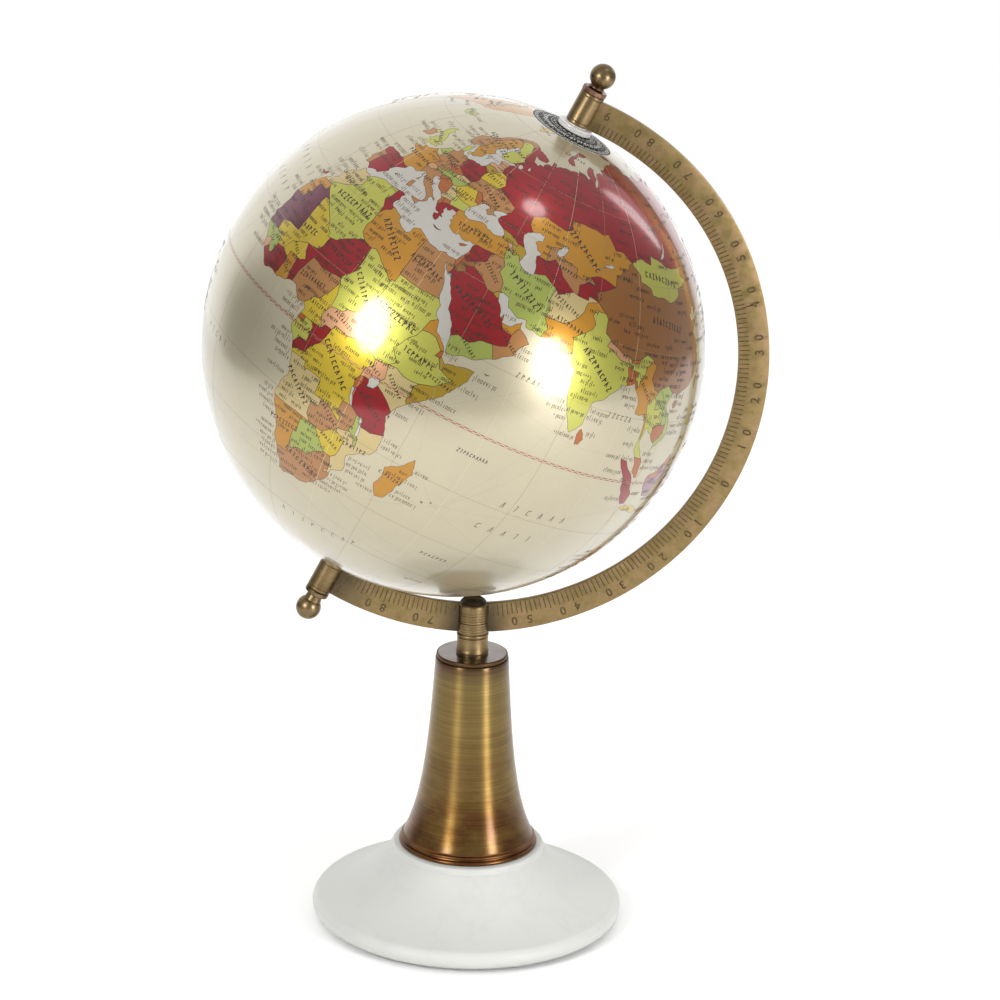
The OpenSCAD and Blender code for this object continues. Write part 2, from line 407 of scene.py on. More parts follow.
# Outlines of the printed map, as longitude and latitude in degrees, east and north positive.
# A coast is a closed loop of round, listed points; roughen() adds the small wriggles.
COASTS = {
    "afro_eurasia": """
        -5.9 35.8  -5.3 35.7  -4.4 35.2  -2.9 35.3  -2 35.1  -1 35.7  1 36.4  3 36.9  5 36.8  7.5 37
        9.8 37.3  11 37  10.5 36.2  11 35.3  10.1 34.2  11 33.3  13.2 32.9  15.2 32.4  15.6 31.4
        17.5 30.6  19.3 30.3  20.1 31  20 32.1  21.7 32.9  23.2 32.4  25 31.7  27.5 31.2  29.2 30.9
        30.3 31.4  31.1 31.6  32.4 31.2  34.2 31.3
        34.8 32.3  35.3 33.4  35.9 35  35.8 36  36.2 36.7  35.4 36.5  34.4 36.7  33.7 36.2
        32.4 36.1  30.7 36.8  30.3 36.3  29.2 36.3  28.2 36.7  27.3 37.1  27.1 38  26.3 38.4
        26.8 39  26.1 39.5  26.4 40.1  27.4 40.8  26 40.8  24.7 40.9  24.3 40.2  23.6 40
        22.9 40.5  22.7 39.6  23.3 39  23 38.5  24 37.8  23.1 37.9  23.2 37.2  23.1 36.5
        22.4 36.5  21.6 36.9  21.2 37.8  22.5 38.2  21.2 38.4  20.2 39.5  19.4 40.5  19.6 41.6
        18.5 42.4  17 43  15.5 43.9  14.9 45  13.9 44.9  13.7 45.7  12.4 45.4  12.3 44.6
        13.6 43.5  14.2 42.5  15.9 41.9  16.3 41.4  18.4 40.4  18.4 39.9  17 40.5  16.6 39.8
        17.1 39.1  16.5 38.4  15.7 38  16.1 39  15.5 40.1  14.2 40.8  12.4 41.6  10.6 42.8
        10.2 43.8  8.8 44.4  7.4 43.7  6.2 43.1  4.6 43.4  3.2 43.1  3.1 42  0.8 40.9
        -0.3 39.5  0.2 38.8  -0.7 38  -1.9 36.9  -4.4 36.7  -5.5 36.1  -6.4 36.8  -7.4 37.2
        -8.9 37  -8.8 38.4  -9.5 38.8  -8.8 40.5  -8.8 42  -9.2 43.1  -8 43.7  -5.8 43.6
        -1.8 43.4  -1.2 44.6  -1.1 46  -2.4 47.3  -4.5 47.9  -4.7 48.5  -1.6 48.7  -1.8 49.7
        0.1 49.6  1.6 50.4  2.8 51.2  4.2 52.1  5 53.3  7 53.5  8.6 53.9  8.2 55.5  8.3 56.9
        10.6 57.7  10.3 56.6  10.8 56.3  9.8 55.3  10.2 54.5  11 54.1  12.5 54.4  14 53.9
        16.5 54.5  18.6 54.6  19.8 54.4  21.1 55.3  21.3 57  22.6 57.6  24.2 57.1  24.3 58.2
        23.5 59  26 59.5  28.2 59.5  30.2 59.9  28.5 60.5  25 60.2  22.9 59.9  21.5 60.8
        21.3 62.2  22.6 63.5  25.3 64.9  24.7 65.7  22.3 65.8  21.4 64.6  18 62.6  17.2 61
        18.8 60  18 59  16.6 58.3  16.4 56.7  14.6 56  14 55.4  12.8 55.5  12.5 56.5  11.2 58.6
        10.7 59.3  9.6 58.9  7.5 58  5.6 58.8  5 60.5  5.2 62  8 63.5  10.4 64.4  12.5 66.2
        14.6 67.8  16.5 68.7  19 69.8  22 70.5  25.8 71.1  28.5 71  31 70.3  33 69.4  36 69.1
        40.8 67.7  40.5 66.6  37.5 66.3  33.5 66.8  34.8 64.6  37.5 63.9  38 64.8  40.2 64.7
        40 65.6  41.6 66.5  43.8 66.3  44 68.3  46 68  45.8 66.9  48 67.6  52 68.4  54.5 68.3
        59 68.9  61 68.8  60.6 69.8  64.5 69.5  68 68.3  68.8 69  67.2 69.6  66.8 71
        69 72.8  72.8 72.8  72.4 71  73.6 69.5  72 68  72 66.4  73.4 67  74.5 68.4  74.2 70.4
        75.5 71.8  78 72.3  81 71.9  80.6 73.4  87 74.8  92 76  98 76.3  104 77.7  110 76.7
        113.5 75.6  110 74  113.5 73.6  118 73.2  123.5 73.2  127 73.5  129.5 71.6  132 71
        134 71.5  140 72.5  148 72.3  152 70.9  160 69.8  168 69.5  171 70  177 69.5  180.5 69
        185 67.3  190 66.1  187 64.4  181 65.4  178 64.5  179.5 62.6  175 61.8  170.5 60
        166 60  163.3 59.5  162 57.8  163 56.1  160.5 54.8  159.8 53.2  156.7 51  155.6 54
        155.8 56.8  158.5 58.6  161 60.3  164 62.3  160.5 61.8  156.5 61.5  154.5 59.7
        150 59.4  145 59.4  142 59.1  138.5 56.9  135.3 54.8  137.5 53.7  141 53  140.5 50.5
        140.3 48.3  138.2 46.3  135.5 44.4  132.5 43  130.7 42.3  129.7 41  127.6 39.8
        128.6 38.3  129.4 37  129.2 35.3  127.5 34.7  126.3 34.7  126.6 36.8  125 38
        125.3 39.5  124.2 39.9  121.5 38.9  122 40.6  120.8 40.7  119 39.3  117.8 38.8
        119 37.3  120.8 37.8  122.5 37.3  120.2 36  119.3 35  120.8 33.4  121.8 31.8
        120.8 30.5  122 29.8  121.5 28.3  119.7 26  118 24.4  116.5 23.1  114.2 22.4
        111.8 21.7  110.4 21.3  110.2 20.3  109.6 21.5  108 21.6  106.6 20.2  105.8 18.9
        107.5 16.8  108.9 15.2  109.3 13  109 11.5  107.2 10.4  106.6 9.6  104.9 8.6
        105 10  103.6 10.6  102.5 12.1  100.9 12.7  100.9 13.4  100 13.3  99.7 11.8
        99.2 10  100.2 8.5  101.5 6.9  103.3 5.3  103.5 3.4  104.2 1.4  103.4 1.3
        101.3 2.9  100.4 5.4  99.5 7  98.3 8.2  98.6 10.5  98.6 13  97.6 16.2  95.6 15.8
        94.3 16  94.4 18.2  93.6 19.9  92 21.6  91.5 22.6  90 21.9  88.8 21.6  87.2 21.6
        86.6 20.2  84.8 19  82.3 16.8  80.4 15.8  80.1 13.4  79.8 10.4  78.9 9.3  77.5 8.1
        76.3 10  74.8 12.8  73.4 16  72.8 19.2  72.8 21.3  72.2 22  72 21.1  70.6 20.8
        69 22.2  70 22.8  68.4 23.5  67 24.8  66.4 25.4  61.6 25.1  57.5 25.6  57 27
        54.6 26.6  51.5 27.8  50.6 29.8  48.8 30.3  47.9 29.7  48.6 28  50 26.7  50.5 25.4
        50.9 24.9  51.3 26.1  51.6 25  51.6 24.2  54 24.2  56.2 26.2  56.4 24.7  58.6 23.6
        59.8 22.5  57.9 20.4  57.6 18.9  55.2 17.5  52.2 15.6  48.7 14  45 12.8  43.4 12.7
        42.8 15.2  42.4 16.8  40.8 19.5  39.1 21.2  38.5 23.5  37 25.5  35.3 28.1  34.6 28.1
        34.95 29.5  34.3 27.9  33.2 28.6  32.6 29.9  32.7 28.7  33.8 27.2  35.5 24.2
        35.8 22.5  37.2 20.9  37.3 18.9  38.6 18  39.5 15.6  41.2 14.6  43.1 12.6
        43.2 11.5  44.5 10.4  47 11.1  51.2 11.9  50.8 9.4  49 6.4  47.6 4  45.3 2
        42.5 -0.5  40.9 -2.3  39.5 -4.3  38.8 -6.3  39.5 -8  40.5 -10.5  40.6 -14.6
        39.6 -16.5  36.9 -17.9  34.8 -19.9  35.5 -22.3  35.3 -24.1  32.8 -25.4  32.7 -27.5
        31 -29.9  29.5 -31.8  27.5 -33.3  25.7 -34  22.2 -34.1  20 -34.8  18.4 -34.2
        18.2 -32  16.5 -28.7  15.2 -26.7  14.5 -22.8  12.5 -18.5  11.8 -16.5  12.4 -13.6
        13.8 -11  13.2 -8.9  12.2 -6  11.2 -4  9.4 -2  8.8 -0.7  9.4 0.4  9.6 2.4
        9.8 3.8  8.7 4.6  6.5 4.3  5.3 5.4  4.3 6.4  2 6.3  -0.5 5.3  -2 4.8  -4.5 5.2
        -7.5 4.4  -9.5 5.6  -11.4 6.9  -13 8.3  -13.7 9.7  -15 11  -16.7 12.3
        -16.6 13.6  -17.4 14.7  -16.5 16  -16.2 19  -17 21  -16 23.7  -14.5 26.1
        -12.9 27.9  -11 28.8  -9.8 29.9  -9.8 31.4  -8.6 33.2  -6.8 34.1""",
    "black_sea": """
        28.5 41.3  31.3 41.2  33.5 42  35.2 42  36.4 41.4  38.5 41  41.4 41.5  41.5 42.4
        39.5 43.7  37.4 44.8  37.7 45.8  39.2 47.1  37.3 47  35.2 46.3  34.9 45.8
        35.5 45.3  36.4 45.2  35.3 45  33.7 44.4  32.6 45.4  33.5 46.1  31.5 46.6
        30.6 46.1  29.7 45  28.7 44.1  27.9 43.1  27.8 42.3""",
    "caspian_sea": """
        47.5 43  48.6 41.7  49.8 40.5  49.3 39.2  48.9 38.2  50.2 37.4  52 36.7  54 36.9
        53.9 38.8  53.2 40  52.8 41.4  54.1 42.2  52.5 42.7  50.9 44.4  53 45.3
        53 46.8  51 47  49 46.3  47.5 45.6  46.8 44.6""",
    "aral_sea": "58.4 45  60 46.7  61.8 46.3  61 44.6  59.5 43.7  58.4 43.9",
    "lake_victoria": "31.7 -0.9  32.2 0.2  33.7 0.3  34.2 -0.6  33.5 -2.3  32 -2.6",
    "lake_tanganyika": "29.1 -3.4  29.5 -6  30.8 -8.7  31.1 -8.4  29.9 -5.8  29.5 -3.4",
    "lake_malawi": "33.9 -9.6  34.5 -11.8  34.6 -14.2  35.2 -14.2  34.9 -11.5  34.4 -9.6",
    "lake_baikal": "104 51.6  106 52.6  108 53.6  109.6 55.6  110.1 55.4  109 53.5  106.2 51.7",
    "lake_balkhash": "74 45.1  76 46.5  79 46.8  79 46.3  75.5 45.9  74.4 44.9",
    "lake_ladoga": "31 60.1  30.6 61.2  32 61.5  33 60.8  32.5 60.1",
    "lake_onega": "35 61  35.2 62.4  36.4 61.3  35.7 60.9",
    "great_britain": """
        -5.6 50.1  -3.5 50.3  -1.2 50.8  1.3 51.1  0.8 51.6  1.7 52.6  0.2 52.9  -0.2 54.1
        -1.6 55.4  -3 56  -2 57.5  -4 57.8  -3.2 58.6  -5 58.5  -6.1 57  -5.6 56
        -4.9 54.8  -3.3 54.9  -3 53.8  -4.5 53.2  -4.2 52.4  -5.2 51.8  -3 51.4  -4.6 50.9""",
    "ireland": """
        -6.4 52.2  -6.1 53.6  -5.6 54.6  -7.3 55.3  -8.5 54.4  -10 54.1  -9.3 53.2
        -10.3 52  -9.5 51.5  -8 51.8""",
    "iceland": """
        -22.3 64  -18.8 63.4  -14.8 64.4  -13.6 65  -15 66.2  -18 66  -20.4 65.8
        -22.5 66.4  -24.2 65.6  -22 65.1  -23.8 64.8""",
    "svalbard": "15 76.8  17 76.7  21 78.3  26 79.8  20 80.4  13 79.8  11.5 78.9",
    "novaya_zemlya": """
        53 70.8  57.5 70.8  55.6 73.2  60 75.3  68.5 76.6  66 77  58 76  54 74  51.6 71.7""",
    "severnaya_zemlya": "95.5 79.2  100 78.2  105 78.7  100 80.2  95 81",
    "new_siberian_islands": "137 75.6  141 74.8  146 75.3  150.5 75.1  144 76.1",
    "franz_josef_land": "48 80.4  58 80.2  62 81.3  52 81.3",
    "wrangel_island": "179 71  183 71.2  181.5 71.7",
    "sakhalin": "142.1 46  143.5 49.2  143.2 51.5  142.7 54.3  141.9 53.2  142 50.5  142 47.8",
    "hokkaido": "140 41.5  141.8 42.5  143.3 42  145.5 43.3  143 44.3  141.7 45.4  141.3 43.3  140.2 42.6",
    "honshu": """
        130.9 34  132.5 34.3  135.2 34.6  135.8 33.5  137 34.7  138.8 34.7  140 35  140.9 35.8
        141 38.2  142 39.5  141.3 41.4  140.2 41.1  139.9 39.6  138.6 37.5  136.9 37.3
        136 35.8  133 35.6  131 34.6""",
    "kyushu": "130 33.5  131.7 33.5  131.3 31.4  130.2 31.2  129.8 32.8",
    "shikoku": "132.4 33.9  134.5 34.3  134.2 33.3  132.9 32.8",
    "taiwan": "120.1 23  121 25  121.9 25  121.3 23.2  120.8 22",
    "hainan": "108.7 19.2  109.5 20  111 19.9  110.4 18.6  109.2 18.2",
    "luzon": "120.3 16  120.6 18.5  122.2 18.4  121.6 16  124 12.9  122.5 13.6  120.8 13.8  120.1 15",
    "mindanao": "122 7.2  123.4 8.6  125.5 9.8  126.5 7.5  125.6 5.8  124 6.6",
    "palawan": "117.2 8.4  119.4 11.2  119.5 10.5  117.8 8.6",
    "visayas": "122 10.5  123.2 11.5  125 12.4  125.3 11  124 9.7  122.6 9.6",
    "borneo": """
        109 1.6  111.3 2.5  113 3.2  115.5 5.4  116.8 7  119.2 5.2  117.8 4  118.8 1
        117.5 0.5  116.4 -1.6  116.3 -3.6  114.6 -4  111.8 -3.4  110.1 -1.4  109.2 0.2""",
    "sumatra": """
        95.3 5.6  97.6 5.2  100.4 2.8  103.4 0  104.6 -1.9  106 -3  105.8 -5.7  104.5 -5.8
        102.3 -3.9  100.3 -1  98.6 1.8  96.5 3.8""",
    "java": """
        105.3 -6.8  106.7 -6  108.6 -6.7  110.8 -6.4  112.7 -7  114.5 -7.8  114.3 -8.6
        111 -8.2  108 -7.8  106.4 -7.4""",
    "flores": "115.5 -8.3  119 -8.3  122.8 -8.2  122.5 -8.8  119 -8.9  116 -8.9",
    "timor": "123.5 -10.3  125 -9  127.2 -8.4  126 -9.3  124 -10.3",
    "sulawesi": """
        119.4 -5.5  119.4 -3.4  118.8 -2.7  119.7 0  120.8 1.2  123 0.9  125 1.6  124 0.4
        120.5 0.4  120.4 -1  123.2 -1  121.6 -2  122.6 -3.6  122.5 -5  121.5 -4.5
        121 -2.9  120.3 -3.2  120.4 -5.6""",
    "halmahera": "127.6 0  127.7 1.6  128.6 1.3  128.3 -0.7",
    "seram": "128 -3.1  130.5 -3  129.5 -3.5  128.2 -3.6",
    "new_guinea": """
        131 -0.8  132.5 -0.4  134.2 -0.9  134.8 -3.2  138 -1.7  141 -2.6  145 -4.5
        147.6 -6.1  147.2 -7.4  148.5 -9  150.8 -10.4  147.5 -10  146 -8.6  143.5 -8.3
        142.5 -9.3  139 -8.1  138.2 -7  137.8 -5.2  133 -4  133.8 -2.5  131.5 -1.8""",
    "new_britain": "148.4 -5.8  151 -5.4  152.2 -4.2  151.5 -6  149 -6.3",
    "bougainville": "154.7 -5.5  156 -6.8  157.5 -8.3  160 -9.6  157 -8.6  155.2 -6.5",
    "new_caledonia": "164 -20.2  167 -22.2  165.5 -21.8",
    "australia": """
        113.7 -22.7  114.1 -21.8  117 -20.6  119 -20  121.5 -19  122.2 -17.2  124 -16.2
        126 -14  128 -14.9  129.6 -14.9  130.8 -12.4  132.6 -11.4  136.8 -12.2  135.6 -14.8
        139 -17.4  140.9 -17.4  141.6 -14.5  142.5 -10.9  143.7 -14.2  145.3 -15
        146.2 -18.8  149 -20.5  150.8 -23.4  153.1 -25.5  153.5 -28.5  152 -32.6
        150.2 -36.2  149.9 -37.5  147 -38.4  146.3 -39  144.5 -38.2  141 -38.1
        139.5 -36  138.2 -35.6  138 -33.3  136.8 -35.2  135.6 -34.8  134 -32.9
        131.2 -31.5  126 -32.3  123.8 -33.9  120 -33.9  118 -35  115.1 -34.3
        115.8 -32  114.2 -28.5  113.4 -26""",
    "tasmania": "144.7 -40.8  148.3 -40.9  148 -43  146.6 -43.6  145.3 -42.3",
    "new_zealand_north": """
        172.7 -34.5  175.3 -36.6  178.4 -37.7  177 -39.5  175.2 -41.6  173.8 -39.3  174.7 -38""",
    "new_zealand_south": """
        172.7 -40.6  174.2 -41.7  172.7 -43.6  170.7 -45.9  168.5 -46.6  166.5 -46
        168.3 -44  171.2 -42.3""",
    "sri_lanka": "79.9 9.2  80.4 9.7  81.8 7.5  81.2 6.2  80.1 6  79.7 8",
    "madagascar": """
        49.3 -12  50.4 -15.6  49.5 -17.8  47.8 -23  47 -25  45.2 -25.5  43.5 -22.6
        44.4 -19.8  44 -17.2  46.3 -15.7  48.1 -13.6""",
    "socotra": "53.3 12.6  54.5 12.6  53.8 12.3",
    "cyprus": "32.3 34.9  33 35.3  34.5 35.6  33.8 34.9  33 34.6",
    "crete": "23.5 35.4  26.2 35.2  24.8 34.9",
    "sicily": "12.5 38  15.6 38.2  15.1 36.7  12.9 37.5",
    "sardinia": "8.3 39  8.3 40.9  9.5 41.1  9.7 39.2",
    "corsica": "8.7 41.7  9.4 42.9  9.5 41.8",
    "zealand": "11.1 55.7  12.5 56.1  12.3 55  11.3 55.1",
    "gotland": "18.2 57  19 57.9  18.7 57.3",
    "balearics": "2.4 39.5  3.4 39.8  3 39.3",
    "zanzibar": "39.2 -5.8  39.6 -5.8  39.5 -6.5",
    "reunion": "55.2 -20.9  55.9 -20.9  55.7 -21.4",
    "mauritius": "57.3 -20  57.8 -20  57.6 -20.5",
    "canaries": "-16.7 28.6  -15.4 28.4  -13.8 29.2  -14 28.2  -15.6 27.8",
    "kerguelen": "68.8 -49  70.4 -49.2  69.5 -49.8",
    "north_and_south_america": """
        -168 65.6  -164 66.6  -162 66.1  -166 68.3  -162.5 69.9  -156.5 71.3  -150 70.5
        -141 69.6  -135 69.3  -128 70.2  -124 69.4  -115 68.5  -108 68  -101 67.8
        -95.5 68.3  -94.5 71.8  -91 69.5  -88 68.5  -85.5 69.7  -82 69.2  -81.5 67.3
        -86 66.3  -89 64.4  -93.5 61.8  -94.7 59  -92.5 57  -88 56.5  -82.3 55.2  -82 53
        -79 51.3  -79.5 54.5  -76.8 56.3  -78 59  -77.5 62.4  -73.5 62.4  -69.7 61
        -69 58.9  -64.6 60.3  -61.5 56.8  -57 53.5  -56 52  -60 50.2  -66.5 50.2  -70 47
        -65 49.2  -64.5 47  -60.5 46.5  -65.5 43.5  -66.3 45  -70 43.7  -70.4 41.9
        -74 40.6  -75.8 37.5  -75.8 35.3  -79 33.3  -81.3 31.5  -80.1 27  -80.6 25.2
        -82.6 27.6  -83.5 29.6  -85.5 29.9  -89 30.3  -89.5 29.2  -94 29.5  -97.3 27.7
        -97.6 23.8  -96 19.2  -94.5 18.2  -91.5 18.6  -90.4 20.8  -87 21.5  -87.7 18.2
        -88.7 15.9  -84.5 15.8  -83.3 14.8  -83.7 11.2  -82.2 9.1  -79.6 9.6  -77 8.3
        -75.4 10.7  -71.8 12.3  -71.4 10.9  -68.3 11.3  -64.5 10.2  -61.8 10.6
        -60 8.4  -57.2 6  -54 5.8  -51.8 4.4  -50 1.5  -48.5 -0.8  -44.3 -2.6
        -40 -2.9  -37 -4.8  -35 -6.5  -35.3 -9.2  -38.5 -13  -39 -16.5  -40.8 -21.5
        -42 -22.9  -46.3 -24  -48.6 -26.2  -48.8 -28.5  -52.3 -32.5  -54.9 -34.9
        -58.3 -34.2  -57 -36.5  -58 -38.2  -62.2 -39  -65 -41  -63.9 -42.4  -65.3 -45
        -67.4 -46.2  -65.9 -47.7  -69 -50.5  -68.4 -52.4  -65.3 -54.8  -68.5 -55.6
        -72 -54  -75 -51  -75.5 -47.8  -73.2 -44.5  -73.8 -41  -73.4 -37.2  -71.6 -33
        -71.4 -29.5  -70.3 -24  -70.4 -18.4  -76.2 -14.2  -79.5 -7.5  -81.2 -5
        -80.1 -2.8  -80 0.7  -77.6 3.5  -77.9 7.2  -80.2 7.4  -80 8.3  -83 8.3
        -85.7 10.4  -87.6 12.9  -91.5 14  -94.5 16.2  -98 16.2  -103.5 18.3  -105.5 20.4
        -106.4 23.5  -109.2 25.8  -112.5 29.5  -114.8 31.7  -112.8 28.2  -109.5 23.2
        -112.2 25  -115 27.9  -116.2 30.4  -118.4 33.8  -120.6 34.5  -122.5 37.5
        -124.3 40.4  -124 46.2  -124.6 48.3  -122.6 47.8  -123.2 49.2  -127.5 51.2
        -130.5 54.6  -134 58  -139.7 59.6  -146 60.8  -150.5 60.3  -154.5 58.3  -158 56.4
        -163 54.8  -160 56.6  -157.5 58.7  -162 58.7  -164.8 61  -164.3 63  -161 64.2
        -165.8 64.5""",
    "great_lakes": "-92 46.8  -88.5 48.7  -84.8 46.8  -84 45.9  -87.5 46.5  -90.5 46.7",
    "michigan_huron": """
        -87.6 42  -87.8 44  -86 45.8  -83.5 46  -80.4 45.8  -79.8 44.7  -82.4 43.1
        -83.2 45  -85 45.5  -86.4 43.8  -86.5 42.2""",
    "greenland": """
        -73 78.2  -66 76  -58 75.3  -54 71  -51.3 69  -53.5 66.8  -51.5 64  -48 61  -44 60
        -41 63.5  -37 65.8  -32 68  -24 70  -22 72.5  -19 75.5  -19 79.5  -13 81.5
        -25 82.4  -33 83.5  -45 82.7  -60 82  -66 80.8""",
    "baffin_island": """
        -62 66.7  -66.5 63.8  -66 62  -72 64.3  -77 65.5  -73 68.2  -79 70  -88 70.5
        -89.5 73.2  -80 73.7  -75 71.8  -68 70.2  -62 67.4""",
    "ellesmere_island": "-82 76.4  -78 77  -74 79  -63 82.5  -75 83  -90 81.7  -88 79  -88 77",
    "victoria_island": "-117 70  -112 68.7  -103 69  -105 72.5  -112 73  -118 72",
    "banks_island": "-125 72  -121 71.5  -118 73.5  -122 74.3",
    "melville_island": "-117 75.2  -106 75  -98 75.2  -98 76.5  -110 76.4",
    "southampton_island": "-86 64  -81 64  -84.5 65.8",
    "newfoundland": "-59.3 47.7  -53 46.7  -53.2 48.5  -55.6 51.5  -57.6 50.3",
    "vancouver_island": "-128 50.8  -123.5 48.3  -125.2 49.9",
    "cuba": "-84.9 21.9  -82 23.1  -77 21.9  -74.2 20.2  -77.7 19.9  -78.2 20.8  -82 22.4",
    "hispaniola": "-74.4 18.4  -72.8 19.9  -69.9 19.7  -68.4 18.6  -71.2 17.7",
    "jamaica": "-78.3 18.3  -76.3 18.1  -77.3 17.8",
    "puerto_rico": "-67.2 18.4  -65.7 18.3  -67 18",
    "hawaii": "-156 20.2  -155 19.6  -155.8 19",
    "falklands": "-61 -51.6  -58 -51.5  -60.5 -52.2",
    "antarctica": """
        -183 -78  -160 -78.2  -150 -76.6  -130 -74.2  -110 -74.6  -100 -72.8  -85 -73
        -75 -71  -68 -68  -58 -63.3  -57 -64.2  -61 -67  -61 -73  -64 -75  -40 -78
        -30 -76.5  -15 -72.6  0 -70  20 -70  35 -69  50 -66.6  70 -69.5  80 -68
        100 -66  120 -66.8  140 -66.7  160 -69.8  170 -71.8  165 -75  165 -78
        183 -78  183 -89.5  -183 -89.5""",
}

